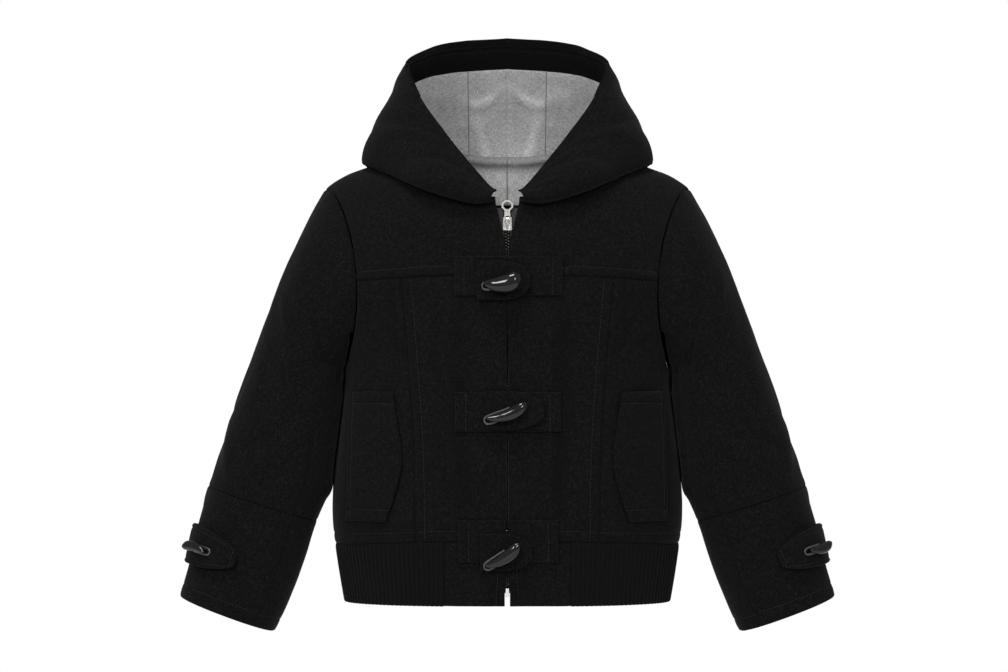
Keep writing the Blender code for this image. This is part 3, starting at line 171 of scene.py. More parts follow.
# largest folds of the front: top x and height, foot x and height, half width, height of the fold
FRONT_FOLDS = (
    (-47, -122, -44, -322, 16, -3.0),
    (50, -126, 45, -318, 16, -3.0),
    (-24, -128, -25, -318, 11, 1.0),
    (25, -130, 25, -318, 11, 1.0),
    (-112, -60, -96, -196, 15, -1.8),
    (110, -64, 97, -186, 15, -1.8),
    (-124, -140, -70, -205, 11, 1.4),
    (126, -146, 74, -196, 11, 1.4),
    (-66, -215, -60, -330, 14, 1.6),
    (66, -230, 61, -330, 14, 1.6),
)
# largest folds of the back, as above
BACK_FOLDS = (
    (-60, -150, -52, -325, 20, -2.6),
    (58, -160, 50, -325, 20, -2.6),
    (-110, -130, -84, -240, 15, -2.0),
    (108, -140, 86, -232, 15, -2.0),
    (-4, -190, 3, -325, 22, 2.0),
)
# section, outer x and height, inner x and height, half depth, distance of its middle in front
SLEEVE = Profile(
    (0, 168.0, -18.4, 149.5, -184.0, 57, 0),
    (1, 190.4, -59.8, 151.2, -187.0, 54, 2),
    (2, 211.6, -112.2, 151.6, -192.5, 51, 4),
    (3, 230.0, -161.0, 152.8, -213.0, 48, 6),
    (4, 248.4, -211.6, 156.8, -249.0, 46, 9),
    (5, 263.1, -257.6, 162.0, -291.0, 44, 12),
    (6, 272.3, -289.8, 174.0, -321.5, 42, 14),
    (7, 283.4, -328.4, 186.3, -360.6, 40, 16),
    (8, 290.7, -361.6, 198.9, -392.8, 38, 18),
    (9, 299.0, -390.0, 212.5, -422.3, 36, 20),
    key_scale=1,
)
SLEEVE_POWER = 2.2
CROSS_SEAM = 6.0
CUFF_EDGE = 9.0
# largest folds of the sleeve: section and angle at its middle, half length in sections, half width
# in degrees, turn in degrees for each section, height
SLEEVE_FOLDS = (
    (2.2, 118, 1.5, 20, -24, -2.2),
    (3.6, 62, 1.6, 17, 10, -1.6),
    (4.4, 100, 1.0, 15, -30, 2.0),
    (5.2, 40, 1.1, 16, 22, 1.6),
    (4.9, 8, 0.9, 16, 30, -1.4),
    (2.0, 20, 1.4, 18, 8, 1.4),
    (3.4, -60, 1.7, 20, 16, -2.2),
    (4.9, -104, 1.0, 18, -26, 2.0),
    (2.2, -112, 1.2, 20, 20, -1.8),
)
ARM_HEIGHTS = (-184, -180, -168, -150, -127, -106.5)
ARM_SHARES = (0.2, 0.4, 0.6, 0.8, 1)
SLEEVE_SEAM_ROW = 3

# way round from the zip (0) to the middle of the back (1); rim x, y, z; fold x, y, z;
# fullness at the rim, over the fold and under it; tuck of the fold; fall of the hood at the rim
HOOD = Profile(
    (0.00, 9.0, -80.0, -22.0, 14.0, -85.0, -30.0, 4, 5, 6, 0.8, 0.0),
    (0.10, 15.0, -77.5, -18.5, 32.0, -86.0, -32.0, 8, 10, 9, 0.8, 0.0),
    (0.22, 37.0, -68.5, 7.5, 72.0, -77.5, -21.0, 20, 20, 11, 0.7, 0.0),
    (0.34, 54.5, -58.0, 29.5, 102.0, -52.0, -7.5, 28, 24, 12, 0.5, 0.0),
    (0.48, 80.0, -37.0, 66.0, 133.5, -12.0, 7.0, 32, 26, 12, 0.2, 0.0),
    (0.60, 92.5, -20.0, 97.0, 115.0, 60.0, -2.0, 30, 34, 13, 0.0, -0.1),
    (0.70, 70.5, -12.0, 111.2, 90.0, 86.0, -7.0, 33, 44, 14, 0.0, -0.3),
    (0.80, 54.0, -7.0, 116.5, 64.0, 104.0, -10.0, 36, 52, 15, 0.0, -0.5),
    (1.00, 0.0, 0.0, 121.5, 0.0, 118.0, -12.0, 38, 56, 16, 0.0, -0.55),
    key_scale=1,
)
HOOD_CORNER = 0.60
HOOD_FRONT_SHARE = 0.44
FACING_START = 0.50
FACING_WAY = 0.48            # way round where the facing piece begins
LINING_WAY = 0.17            # way round where the lining begins, clear of the zip

# rows of tabs: patch's outer x (wearer's right and left), top and foot; tab's outer x, tip x, top, foot
TAB_ROWS = {
    "top": (-47.5, 49.5, -81.5, -117.0, -27.0, 20.0, -86.0, -121.0),
    "middle": (-46.5, 47.5, -203.0, -238.5, -20.0, 31.0, -202.5, -237.0),
    "bottom": (-43.5, 45.5, -317.0, -355.5, -24.0, 21.5, -328.5, -362.0),
}
# height, x of the pocket's free edge, x of its sewn side edge
POCKET = Profile((-320, 108.5, 144.0), (-300, 101.5, 143.8), (-264, 93.6, 143.0), (-230, 98.0, 142.0),
                 (-203, 101.7, 141.0))

# ---------------------------------------------------------------- creases, placed one by one
CREASE_DEPTH = 1.35          # all the creases below stand this much deeper than their tables say
# on the front and the back: x and height of one end, x and height of the other, half width, height
FRONT_CREASES = (
    (-58, -130, -50, -215, 7, -1.3),
    (-52, -240, -57, -330, 6, -1.2),
    (-38, -236, -34, -318, 5, 0.9),
    (-86, -150, -62, -198, 8, 0.8),
    (-132, -196, -98, -232, 7, -1.0),
    (-138, -216, -112, -262, 6, 0.7),
    (-30, -96, -88, -62, 9, -0.9),
    (-20, -78, -62, -52, 7, 0.7),
    (56, -134, 52, -206, 7, -1.2),
    (50, -244, 56, -326, 6, -1.3),
    (36, -242, 33, -312, 5, 0.8),
    (92, -146, 66, -190, 8, 0.7),
    (134, -200, 96, -226, 7, -1.1),
    (139, -222, 110, -252, 6, 0.8),
    (28, -92, 84, -66, 9, -0.8),
    (-66, -262, -84, -330, 9, 0.8),
    (68, -270, 86, -332, 9, 0.9),
    (-126, -120, -104, -176, 8, -0.9),
    (124, -126, 106, -170, 8, -0.8),
)
BACK_CREASES = (
    (-30, -170, -36, -320, 10, -1.2),
    (34, -186, 30, -326, 9, -1.3),
    (-86, -90, -40, -140, 12, 1.0),
    (92, -84, 44, -150, 12, 1.1),
    (-132, -190, -92, -236, 8, -1.2),
    (134, -196, 98, -228, 8, -1.1),
    (-124, -236, -100, -322, 10, 0.9),
    (120, -240, 98, -318, 10, 1.0),
    (4, -60, -6, -130, 14, -0.9),
    (-64, -44, -20, -60, 9, 0.8),
    (66, -42, 22, -58, 9, 0.8),
)
# on the wearer's left sleeve: angle and way down at one end and at the other, half width, height. The
# way down is the section times SECTION_RUN, and the angle is in degrees.
SECTION_RUN = 40
SLEEVE_CREASES = (
    (58, 40, 128, 92, 8, -1.2),
    (44, 62, 96, 124, 9, 1.0),
    (88, 150, 30, 196, 8, -1.1),
    (96, 176, 52, 214, 6, 0.8),
    (20, 150, -18, 186, 9, -0.9),
    (70, 250, 30, 284, 9, -0.9),
    (104, 262, 64, 312, 8, 0.8),
    (12, 226, -24, 262, 9, 0.8),
    (-50, 60, -104, 118, 10, -1.2),
    (-92, 150, -40, 204, 9, -1.3),
    (-112, 190, -70, 236, 8, 1.0),
    (-36, 262, -84, 316, 9, -1.0),
    (150, 70, 196, 118, 10, -1.0),
    (176, 160, 214, 214, 10, 1.0),
)
RIGHT_SLEEVE_CREASES = (
    (62, 50, 120, 84, 9, -1.1),
    (40, 78, 92, 138, 8, 1.0),
    (92, 160, 40, 190, 7, -1.2),
    (84, 186, 46, 224, 7, 0.9),
    (24, 138, -12, 178, 9, -0.8),
    (76, 262, 40, 300, 8, -1.0),
    (110, 250, 70, 296, 8, 0.7),
    (8, 236, -30, 270, 8, 0.9),
    (-46, 72, -100, 124, 10, -1.1),
    (-96, 158, -44, 196, 9, -1.2),
    (-108, 204, -66, 240, 8, 1.1),
    (-40, 254, -88, 306, 9, -0.9),
    (146, 76, 190, 128, 10, -1.1),
    (180, 150, 210, 220, 10, 0.9),
)
# on the hood's wool: way round and way out at one end and at the other, half width, height. The way
# round is the share times 300 and the way out is the run times 200.
HOOD_CREASES = (
    (52, 20, 96, 84, 12, -1.3),
    (84, 12, 128, 72, 10, 1.1),
    (120, 30, 152, 92, 11, -1.2),
    (30, 30, 58, 90, 8, 0.9),
    (170, 14, 178, 84, 12, 1.2),
    (206, 24, 220, 96, 13, -1.6),
    (248, 20, 244, 92, 14, 1.4),
    (282, 36, 286, 98, 12, -1.2),
)
# on the lining, on the same map: these stand into the hood
LINING_CREASES = (
    (66, 8, 92, 120, 6, 2.2),
    (84, 6, 112, 132, 5, 1.6),
    (104, 10, 128, 120, 6, 2.6),
    (124, 20, 146, 140, 5, 2.0),
    (146, 30, 160, 130, 5, 2.4),
    (164, 34, 176, 150, 5, 2.8),
    (184, 40, 190, 160, 5, 2.2),
    (200, 36, 206, 150, 4, 2.4),
    (222, 60, 216, 176, 5, 1.8),
    (246, 90, 238, 184, 7, 1.4),
    (228, 96, 206, 104, 4, 1.6),
    (232, 128, 204, 138, 4, 1.8),
    (272, 60, 276, 150, 8, 1.2),
    (290, 44, 262, 50, 6, 1.0),
)


# ---------------------------------------------------------------- small helpers
def unit(vector):
    return vector / np.linalg.norm(vector)


def power(value, exponent):
    return math.copysign(abs(value) ** exponent, value)


def ease(value):
    value = min(max(value, 0.0), 1.0)
    return value * value * (3.0 - 2.0 * value)


def eased(values):
    values = np.clip(values, 0.0, 1.0)
    return values * values * (3.0 - 2.0 * values)


def folds_at(folds, x, height):
    total = 0.0
    for top_x, top, foot_x, foot, half_width, raise_by in folds:
        along = (top - height / MM) / (top - foot)
        across = abs(x / MM - top_x - (foot_x - top_x) * along) / half_width
        if across >= 1.0 or along <= -0.1 or along >= 1.1:
            continue
        ends = ease((along + 0.1) / 0.3) * ease((1.1 - along) / 0.3)
        total += raise_by * MM * math.cos(across * math.pi / 2) ** 2 * ends
    return total


def creases(table, a, b):
    """Height of soft creases on a flat map, each from one end to the other."""
    total = np.zeros_like(a)
    for a0, b0, a1, b1, half_width, height in table:
        length = math.hypot(a1 - a0, b1 - b0)
        along = ((a - a0) * (a1 - a0) + (b - b0) * (b1 - b0)) / length**2
        bend = 0.12 * length * np.sin(np.clip(along, 0, 1) * math.pi) * math.copysign(1, a0 * 7 % 2 - 1)
        off = np.abs(((a - a0) * (b1 - b0) - (b - b0) * (a1 - a0)) / length + bend) / half_width
        ends = eased((along + 0.2) / 0.5) * eased((1.2 - along) / 0.5)
        total += CREASE_DEPTH * height * MM * np.cos(np.clip(off, 0, 1) * math.pi / 2) ** 2 * ends
    return total


def rumple(points, size, seed=0.0):
    """Smooth unevenness from -1 to 1 with lumps of a size."""
    flat = points.reshape(-1, 3) / size + seed
    return np.array([noise.noise(Vector(p)) for p in flat]).reshape(points.shape[:-1])


# ---------------------------------------------------------------- the body's surface
def angle_of(x, level):
    half_width = BODY(YOKE_HEIGHT + min(level, 0.0))[0]
    return math.asin(min(abs(x) / half_width, 1.0) ** (SECTION_POWER / 2))


def body(angle, level):
    """Outer surface of the body. The angle is 0 at the zip and grows to the wearer's left. A level
    to 0 is the height under the yoke seam; from 0 to 1 it is the share of the shoulder's rise."""
    half_width, front, back, rise = BODY(YOKE_HEIGHT + min(level, 0.0))
    across, forward = math.sin(angle), math.cos(angle)
    x = half_width * power(across, 2 / SECTION_POWER)
    y = -(front if forward > 0 else back) * power(forward, 2 / SECTION_POWER)
    z = YOKE_HEIGHT + min(level, 0.0) + rise * max(0.0, 1 - (x / half_width) ** 2)
    if level > 0:
        turn = min(level, 1.0) * math.pi / 2
        roundness = FRONT_DOME
        if forward < 0:
            roundness = BACK_DOME + (FRONT_DOME - BACK_DOME) * ease((abs(x) - 0.05) / 0.07)
        y *= max(math.cos(turn), 0.0) ** (2 / roundness)
        z += (RIDGE(abs(x)) - z) * math.sin(turn) ** (2 / roundness)
    folds = FRONT_FOLDS if forward > 0 else BACK_FOLDS
    y -= math.copysign(folds_at(folds, x, z), forward) * min(1.0, abs(forward) * 3.0)
    return np.array((x, y, z))


def body_outward(point):
    return np.array((point[0], point[1], max(point[2] - YOKE_HEIGHT, 0.0) * 1.5))


def with_normal(surface, a, b, outward, step=1e-3):
    across = surface(a + step, b) - surface(a - step, b)
    along = surface(a, b + step) - surface(a, b - step)
    normal = unit(np.cross(across, along))
    point = surface(a, b)
    return point, normal if np.dot(normal, outward(point)) > 0 else -normal


def body_at(angle, level):
    return with_normal(body, angle, min(level, 0.999), body_outward)


def front_point(x, height):
    """Place on the front under a point of the front view."""
    half_width, _, _, rise = BODY(height)
    level = height - YOKE_HEIGHT - rise * (1 - (x / half_width) ** 2)
    for _ in range(3):
        half_width, _, _, rise = BODY(YOKE_HEIGHT + min(level, 0.0))
        level = height - YOKE_HEIGHT - rise * (1 - (x / half_width) ** 2)
    if level > 0:
        low, high = 0.0, 1.0
        for _ in range(16):
            level = (low + high) / 2
            if body(math.copysign(angle_of(x, level), x), level)[2] < height:
                low = level
            else:
                high = level
    return body(math.copysign(angle_of(x, level), x), level)


def front_edge_level(level):
    return FRONT_EDGE(YOKE_HEIGHT + level if level <= 0 else body(0.0, level)[2])


def armhole_distance(level):
    return ARMHOLE(YOKE_HEIGHT + level) if level <= 0 else SHOULDER_SEAM(level)


def outer_angle(level):
    if YOKE_HEIGHT + level <= UNDERARM:
        return math.pi / 2
    return angle_of(armhole_distance(level), level)


def neck_level(share, neck_share, middle_rise):
    across = min(share / neck_share, 1.0)
    return middle_rise + (1.0 - middle_rise) * (1.0 - math.sqrt(max(0.0, 1.0 - across**2)))


def neck_share():
    edge, princess = angle_of(front_edge_level(0.0), 0.0), angle_of(PRINCESS(YOKE_HEIGHT), 0.0)
    reach = body(edge + (princess - edge) * NECK_REACH, 0.0)[0] - front_edge_level(0.0)
    return reach / (armhole_distance(0.0) - front_edge_level(0.0))


NECK_SHARE = neck_share()


def yoke_angle(share, level):
    edge = front_edge_level(level)
    return angle_of(edge + (armhole_distance(level) - edge) * share, level)


def back_angle(share, level):
    if level <= 0:
        return math.pi - outer_angle(level) * angle_of(armhole_distance(0.0) * share, 0.0) / outer_angle(0.0)
    return math.pi - angle_of(armhole_distance(level) * share, level)


def neck_cell(way):
    """Point, outward normal and direction into the neck of the neckline, from the zip (0) to the
    middle of the back (1), on the wearer's left."""
    def at(part):
        if part <= HOOD_FRONT_SHARE:
            share = NECK_SHARE * math.sin(max(part, 0.0) / HOOD_FRONT_SHARE * math.pi / 2)
            level = neck_level(share, NECK_SHARE, FRONT_NECK_RISE)
            return yoke_angle(share, level), level
        share = BACK_NECK * math.sin((1.0 - part) / (1.0 - HOOD_FRONT_SHARE) * math.pi / 2)
        level = neck_level(abs(share), BACK_NECK, BACK_NECK_RISE)
        angle = back_angle(abs(share), level)
        return (angle if share >= 0 else 2 * math.pi - angle), level

    point, normal = body_at(*at(way))
    along = body(*at(min(way + 0.01, 1.01))) - body(*at(way - 0.01 if way > 0.01 else 0.0))
    inward = unit(np.cross(normal, along))
    if np.dot(inward, -point + np.array((0.0, 0.0, point[2]))) < 0:
        inward = -inward
    return point, normal, inward


NECKLINE = Profile(*[(way, *np.concatenate(neck_cell(way))) for way in np.linspace(0, 1, 101)],
                   scale=1, key_scale=1)


# ---------------------------------------------------------------- the sleeve's surface
def armhole_loop():
    """The armhole's points against the angle round the sleeve, three quarters more than once round."""
    levels = [h * MM - YOKE_HEIGHT for h in ARM_HEIGHTS] + list(ARM_SHARES)
    front = [body_at(outer_angle(level), level)[0] for level in levels]
    back = [body_at(math.pi - outer_angle(level), level)[0] for level in levels]
    middle, half = (front[0][2] + front[-1][2]) / 2, (front[-1][2] - front[0][2]) / 2
    turns = [math.acos(min(max((point[2] - middle) / half, -1.0), 1.0)) for point in front]
    rows = [(turn - 2 * math.pi, *point) for turn, point in reversed(list(zip(turns, front)))][1:-1]
    rows += [(-turn, *point) for turn, point in zip(turns, back)]
    rows += [(turn, *point) for turn, point in reversed(list(zip(turns, front)))][1:]
    rows += [(2 * math.pi - turn, *point) for turn, point in zip(turns, back)][1:-1]
    return Profile(*rows, scale=1, key_scale=1), turns[SLEEVE_SEAM_ROW]


LOOP, SLEEVE_SEAM = armhole_loop()


def sleeve(angle, section):
    """Outer surface of the wearer's left sleeve. The angle is 0 outside and grows to the front."""
    outer_x, outer_z, inner_x, inner_z, depth, forward = SLEEVE(section)
    outer, inner = np.array((outer_x, -forward, outer_z)), np.array((inner_x, -forward, inner_z))
    centre, arm = (outer + inner) / 2, (outer - inner) / 2
    front = np.array((0.0, -depth, 0.0))
    across, forward = (power(turn, 2 / SLEEVE_POWER) for turn in (math.cos(angle), math.sin(angle)))
    point = centre + arm * across + front * forward
    degrees = angle / RAD
    for middle, turn, half_length, half_width, twist, height in SLEEVE_FOLDS:
        along = (section - middle) / half_length
        off = (degrees - turn - twist * (section - middle) + 180) % 360 - 180
        if abs(along) < 1 and abs(off) < half_width:
            bump = math.cos(along * math.pi / 2) ** 2 * math.cos(off / half_width * math.pi / 2) ** 2
            point = point + unit(point - centre) * height * MM * bump
    joined = ease(section / 1.6)
    return LOOP(angle) * (1 - joined) + point * joined


def sleeve_centre(section):
    outer_x, outer_z, inner_x, inner_z, _, forward = SLEEVE(section)
    return np.array(((outer_x + inner_x) / 2, -forward, (outer_z + inner_z) / 2))


# ---------------------------------------------------------------- the hood's surface
def bezier(a, b, c, d, t):
    return a * (1 - t) ** 3 + 3 * b * t * (1 - t) ** 2 + 3 * c * t * t * (1 - t) + d * t**3


def clear_of_shoulder(point, edge_share):
    x, y, z = point
    gap = HOOD_LAY + RIDGE_LAY * ease(1.0 - abs(y) / RIDGE_REACH) * ease((1.0 - edge_share) / 0.3)
    distance = abs(x)
    if distance > 0.166:
        return point
    angle = angle_of(distance, 0.0)
    base = body(angle if y < 0 else math.pi - angle, 0.0)
    depth, low = abs(base[1]) + gap, base[2]
    high = RIDGE(distance) + gap
    if z <= low:
        return point
    roundness = FRONT_DOME
    if y > 0:
        roundness = BACK_DOME + (FRONT_DOME - BACK_DOME) * ease((distance - 0.05) / 0.07)
    inside = (abs(y) / depth) ** roundness + ((z - low) / (high - low)) ** roundness
    if inside >= 1.0:
        return point
    grow = inside ** (-1 / roundness)
    return np.array((x, y * grow, low + (z - low) * grow))


def hood(way, run):
    """Outer surface of the hood's left half: way is round the opening from the zip to the middle of
    the back, run goes from the rim (0) over the fold (0.5) and under it to the neckline (1)."""
    row = HOOD(way)
    rim, fold = row[0:3], row[3:6]
    neck_row = NECKLINE(way)
    neck = neck_row[0:3] + neck_row[3:6] * HOOD_LAY
    if run <= 0.5:
        leave = unit(np.array((fold[0] - rim[0], fold[1] - rim[1], 0.0)) + 1e-9)
        leave = unit(leave + np.array((0.0, 0.0, row[10] / MM)))
        down = unit(np.array((0.0, row[9] / MM, -1.0)))
        return bezier(rim, rim + leave * row[6], fold - down * row[7], fold, run * 2)
    down = unit(np.array((0.0, row[9] / MM, -1.0)))
    reach = np.linalg.norm(fold - neck) * 0.35
    point = bezier(fold, fold + down * row[8], neck - neck_row[6:9] * reach, neck, run * 2 - 1)
    return clear_of_shoulder(point, run * 2 - 1)


def facing_edge(way):
    """Run of the hood where its facing, or the bare edge on its fronts, meets the lining."""
    row = HOOD(way)
    length = np.linalg.norm(row[3:6] - row[0:3]) + 0.3 * (row[6] + row[7])
    depth = EDGE_SHOW + (FACING_DEPTH - EDGE_SHOW) * ease((way - FACING_START) / 0.09)
    return 0.5 * depth / length


@functools.lru_cache(maxsize=None)
def strip_way(run_share):
    """Way round the hood where the lining's seam crosses, at its distance from the middle plane."""
    low, high = HOOD_CORNER + 0.04, 0.97
    for _ in range(16):
        way = (low + high) / 2
        if hood(way, lining_run(way, run_share))[0] > LINING_SEAM:
            low = way
        else:
            high = way
    return low


def lining_run(way, share):
    """Run at a share of the way from the facing's edge, over the fold, to the neckline."""
    edge = facing_edge(way)
    return edge + (1.0 - edge) * share


# ---------------------------------------------------------------- laying out the panels
def marks(stitch=None, edge=0.15):
    """Distances of a panel's lines beside one of its edges: close at the seam and at the stitches."""
    close = [edge, 0.8, 1.6, 2.6]
    if stitch:
        between = np.linspace(2.6, stitch - 1.5, max(2, round((stitch - 4.1) / 3.2) + 1))[1:]
        close += [*between, stitch - 0.75, stitch, stitch + 0.75, stitch + 1.5]
    return np.array(close) * MM


ALL_EDGES = ("foot", "top", "start", "end")
OPEN = np.array([0.0])       # an edge that is joined to its own mirror image
FREE = np.array([0.0, 0.25, 0.6, 1.1, 1.8, 2.6]) * MM


def stations(shares, run, near, far, cells):
    """Shares and distances of the lines across one row: the near marks, even steps, the far marks."""
    width = run[-1]
    shrink = min(1.0, 0.94 * width / (near[-1] + far[-1] + 1e-9))
    even = np.linspace(near[-1] * shrink, width - far[-1] * shrink, cells + 1)[1:-1]
    at = np.concatenate((near * shrink, even, width - far[::-1] * shrink))
    return np.interp(at, run, shares), at


def measured(line, count=15):
    shares = np.linspace(0, 1, count)
    points = np.array([line(s) for s in shares])
    return shares, np.concatenate(([0.0], np.cumsum(np.linalg.norm(np.diff(points, axis=0), axis=1))))


class Panel:
    """A cloth panel laid out on surface(up, across), both shares from 0 to 1. Each point keeps its
    shares and its distances from the panel's foot, top, start and end."""

    def __init__(self, surface, outward, foot, top, start, end, step=3.0):
        middle, run = measured(lambda s: surface(s, 0.5), 31)
        cells = max(1, round((run[-1] - foot[-1] - top[-1]) / (step * MM)))
        ups, up_at = stations(middle, run, foot, top, cells)
        rows = [measured(lambda s: surface(up, s)) for up in ups]
        widest = max(along[-1] for _, along in rows)
        cells = max(1, round((widest - start[-1] - end[-1]) / (step * MM)))
        laid = [stations(shares, along, start, end, cells) for shares, along in rows]
        self.points = np.array([[surface(up, s) for s in across] for up, (across, _) in zip(ups, laid)])
        self.across = np.array([across for across, _ in laid])
        self.up = np.repeat(ups[:, None], self.across.shape[1], axis=1)
        self.start = np.array([at for _, at in laid])
        self.end = np.array([along[-1] for _, along in rows])[:, None] - self.start
        self.foot = np.repeat(up_at[:, None], self.across.shape[1], axis=1)
        self.top = run[-1] - self.foot
        self.flat = (widest, run[-1])
        normals = np.cross(np.gradient(self.points, axis=0), np.gradient(self.points, axis=1))
        self.normals = normals / np.maximum(np.linalg.norm(normals, axis=-1, keepdims=True), 1e-12)
        row, column = self.points.shape[0] // 2, self.points.shape[1] // 2
        if np.dot(self.normals[row, column], outward(self.points[row, column])) < 0:
            self.normals = -self.normals
        self.height = np.zeros(self.start.shape)
        self.folds = np.zeros(self.start.shape)
        # share of painted shade in the colour: seams, stitch grooves and fold troughs
        self.sewn = np.zeros(self.start.shape)
        self.stitches = []

    def mirrored(self, sign):
        """The same panel on the wearer's other side."""
        other = copy.copy(self)
        other.points = self.points * (sign, 1.0, 1.0)
        other.normals = self.normals * (sign, 1.0, 1.0)
        other.stitches = []
        return other

    def both_halves(self):
        """The panel with its mirror image before it, joined on the middle plane."""
        whole = copy.copy(self)
        half_width = self.start[:, -1:]
        whole.points = np.concatenate((self.points * (-1.0, 1.0, 1.0), self.points[:, -2::-1]), axis=1)
        whole.normals = np.concatenate((self.normals * (-1.0, 1.0, 1.0), self.normals[:, -2::-1]), axis=1)
        whole.start = np.concatenate((self.start, 2 * half_width - self.start[:, -2::-1]), axis=1)
        whole.end = 2 * half_width - whole.start
        for name in ("across", "up", "foot", "top", "height", "folds", "sewn"):
            grid = getattr(self, name)
            setattr(whole, name, np.concatenate((grid, grid[:, -2::-1]), axis=1))
        whole.flat = (self.flat[0] * 2, self.flat[1])
        whole.stitches = []
        return whole

    def sew(self, edge, stitch=None, dip=0.9, full=0.3):
        """The dip beside a seam and, with a row of stitches, its groove and the full strip between. Deep dips
        and the grooves also take painted shade.
        """
        distance = getattr(self, edge) / MM
        self.height = self.height - dip * MM * np.exp(-((distance / 1.6) ** 2))
        # painted shade in a deep seam dip
        if dip > 0.3:
            self.sewn = np.maximum(self.sewn, min(dip / 0.9, 1.0) * np.exp(-((distance / 1.0) ** 2)))
        if stitch:
            pull = 0.5 + 0.2 * rumple(self.points, 0.011, 3.0)
            self.height = self.height - pull * MM * np.exp(-(((distance - stitch) / 0.95) ** 2))
            # painted shade in the stitch groove
            self.sewn = np.maximum(self.sewn, 0.45 * np.exp(-(((distance - stitch) / 0.9) ** 2)))
            strip = eased(distance / (stitch * 0.5)) * eased((stitch - distance) / (stitch * 0.5))
            self.height = self.height + full * MM * strip
            self.stitches.append((edge, stitch))
        pucker = rumple(self.points, 0.014, 7.0) * np.exp(-distance / 9.0)
        self.height = self.height + 0.3 * MM * pucker
        return self

    def soften(self, amount=0.5):
        """The slow unevenness of thick cloth."""
        slow = rumple(self.points, 0.042) + 0.5 * rumple(self.points, 0.018, 5.0)
        self.height = self.height + amount * MM * slow
        return self

    def area(self):
        rise = self.points[1:, 1:] - self.points[:-1, :-1]
        fall = self.points[1:, :-1] - self.points[:-1, 1:]
        return float(np.linalg.norm(np.cross(rise, fall), axis=-1).sum() / 2)

    def stitch_lines(self, face, normals):
        for edge, stitch in self.stitches:
            distance = getattr(self, edge) / MM
            axis = 0 if edge in ("foot", "top") else 1
            nearest = np.argmin(np.abs(distance - stitch), axis=axis)
            if axis == 0:
                spots = (nearest, np.arange(face.shape[1]))
            else:
                spots = (np.arange(face.shape[0]), nearest)
            STITCH_LINES.append((face[spots] + normals[spots] * 0.02 * MM, normals[spots]))


STITCH_LINES = []


def add_mesh(name, vertices, faces, uvs, finish, turn_out=True):
    mesh = bpy.data.meshes.new(name)
    mesh.from_pydata(np.asarray(vertices).tolist(), [], faces)
    if uvs is not None:
        layer = mesh.uv_layers.new(name="cloth")
        corners = np.empty(len(mesh.loops), dtype=np.int32)
        mesh.loops.foreach_get("vertex_index", corners)
        layer.data.foreach_set("uv", np.asarray(uvs, dtype=np.float32)[corners].ravel())
    if turn_out:
        work = bmesh.new()
        work.from_mesh(mesh)
        bmesh.ops.recalc_face_normals(work, faces=work.faces)
        work.to_mesh(mesh)
        work.free()
    mesh.shade_smooth()
    mesh.materials.append(finish)
    made = bpy.data.objects.new(name, mesh)
    bpy.context.scene.collection.objects.link(made)
    return made


def shell(name, outer, inner, start, foot, finish, sewn):
    """A closed wall between two grids of the same shape, with its cloth map in metres and, as the
    "sewn" attribute, the painted shade each place takes in seams, stitch grooves, fold troughs and rib valleys."""
    rows, columns = outer.shape[:2]
    count = rows * columns
    grid = np.arange(count).reshape(rows, columns)
    a, b, c, d = grid[:-1, :-1].ravel(), grid[:-1, 1:].ravel(), grid[1:, 1:].ravel(), grid[1:, :-1].ravel()
    faces = np.stack((a, b, c, d), axis=1).tolist()
    faces += (np.stack((d, c, b, a), axis=1) + count).tolist()
    ring = np.concatenate((grid[0], grid[1:, -1], grid[-1, -2::-1], grid[-2:0:-1, 0]))
    after = np.roll(ring, -1)
    faces += np.stack((after, ring, ring + count, after + count), axis=1).tolist()
    uvs = np.stack((start.ravel(), foot.ravel()), axis=1)
    vertices = np.vstack((outer.reshape(-1, 3), inner.reshape(-1, 3)))
    made = add_mesh(name, vertices, faces, np.vstack((uvs, uvs)), finish)
    # the painted shade, per point, that the finishes darken their colour by
    shade = made.data.attributes.new("sewn", "FLOAT", "POINT")
    shade.data.foreach_set("value", np.concatenate((sewn.ravel(), sewn.ravel())).astype(np.float32))
    return made


def tube_faces(rings, sides):
    """Faces of a closed tube of rings, with a flat face at each end."""
    faces = [tuple(range(sides))[::-1], tuple(range((rings - 1) * sides, rings * sides))]
    for i in range(rings - 1):
        for j in range(sides):
            k = (j + 1) % sides
            faces.append((i * sides + j, i * sides + k, (i + 1) * sides + k, (i + 1) * sides + j))
    return faces


def settle(piece, slot, *nodes, body_name="jacket"):
    """The piece stands for its nodes, which it hides, and rides on its body. The slot is not used."""
    if nodes:
        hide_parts(*nodes)
    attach(piece, body_name)
    return piece


def turned_edges(panel, wall, free):
    """How far the two faces close in on each other at the free edges, which are turned and round."""
    total = np.zeros(panel.start.shape)
    radius = wall * 0.5
    for edge in free:
        reach = np.clip(1 - getattr(panel, edge) / (radius * 1.8), 0, 1)
        total = np.maximum(total, radius * 0.9 * (1 - np.sqrt(np.maximum(1 - reach**2, 0))))
    return total


def cloth(name, panel, wall, finish, slot, free=(), lift=0.0, inside=False):
    """The finished piece of a panel. Its sewn relief is on the face that shows, the outer one or the
    inner one, and its folds move both faces."""
    close = turned_edges(panel, wall, free)
    relief = np.maximum(panel.height, -(wall - 0.45 * MM))
    if inside:
        outer = panel.points + panel.normals * (lift - panel.folds - close)[..., None]
        inner = panel.points + panel.normals * (lift - wall - panel.folds - relief + close)[..., None]
        panel.stitch_lines(inner, -panel.normals)
    else:
        outer = panel.points + panel.normals * (lift + relief + panel.folds - close)[..., None]
        inner = panel.points + panel.normals * (lift - wall + close)[..., None]
        panel.stitch_lines(outer, panel.normals)
    made = shell("sewn_" + name, outer, inner, panel.start, panel.foot, finish, np.clip(panel.sewn, 0, 1))
    settle(made, slot, name)
    width, length = panel.flat
    width = max(width, panel.area() / length * 1.001)
    min(panel.area(), width * length)
    return made


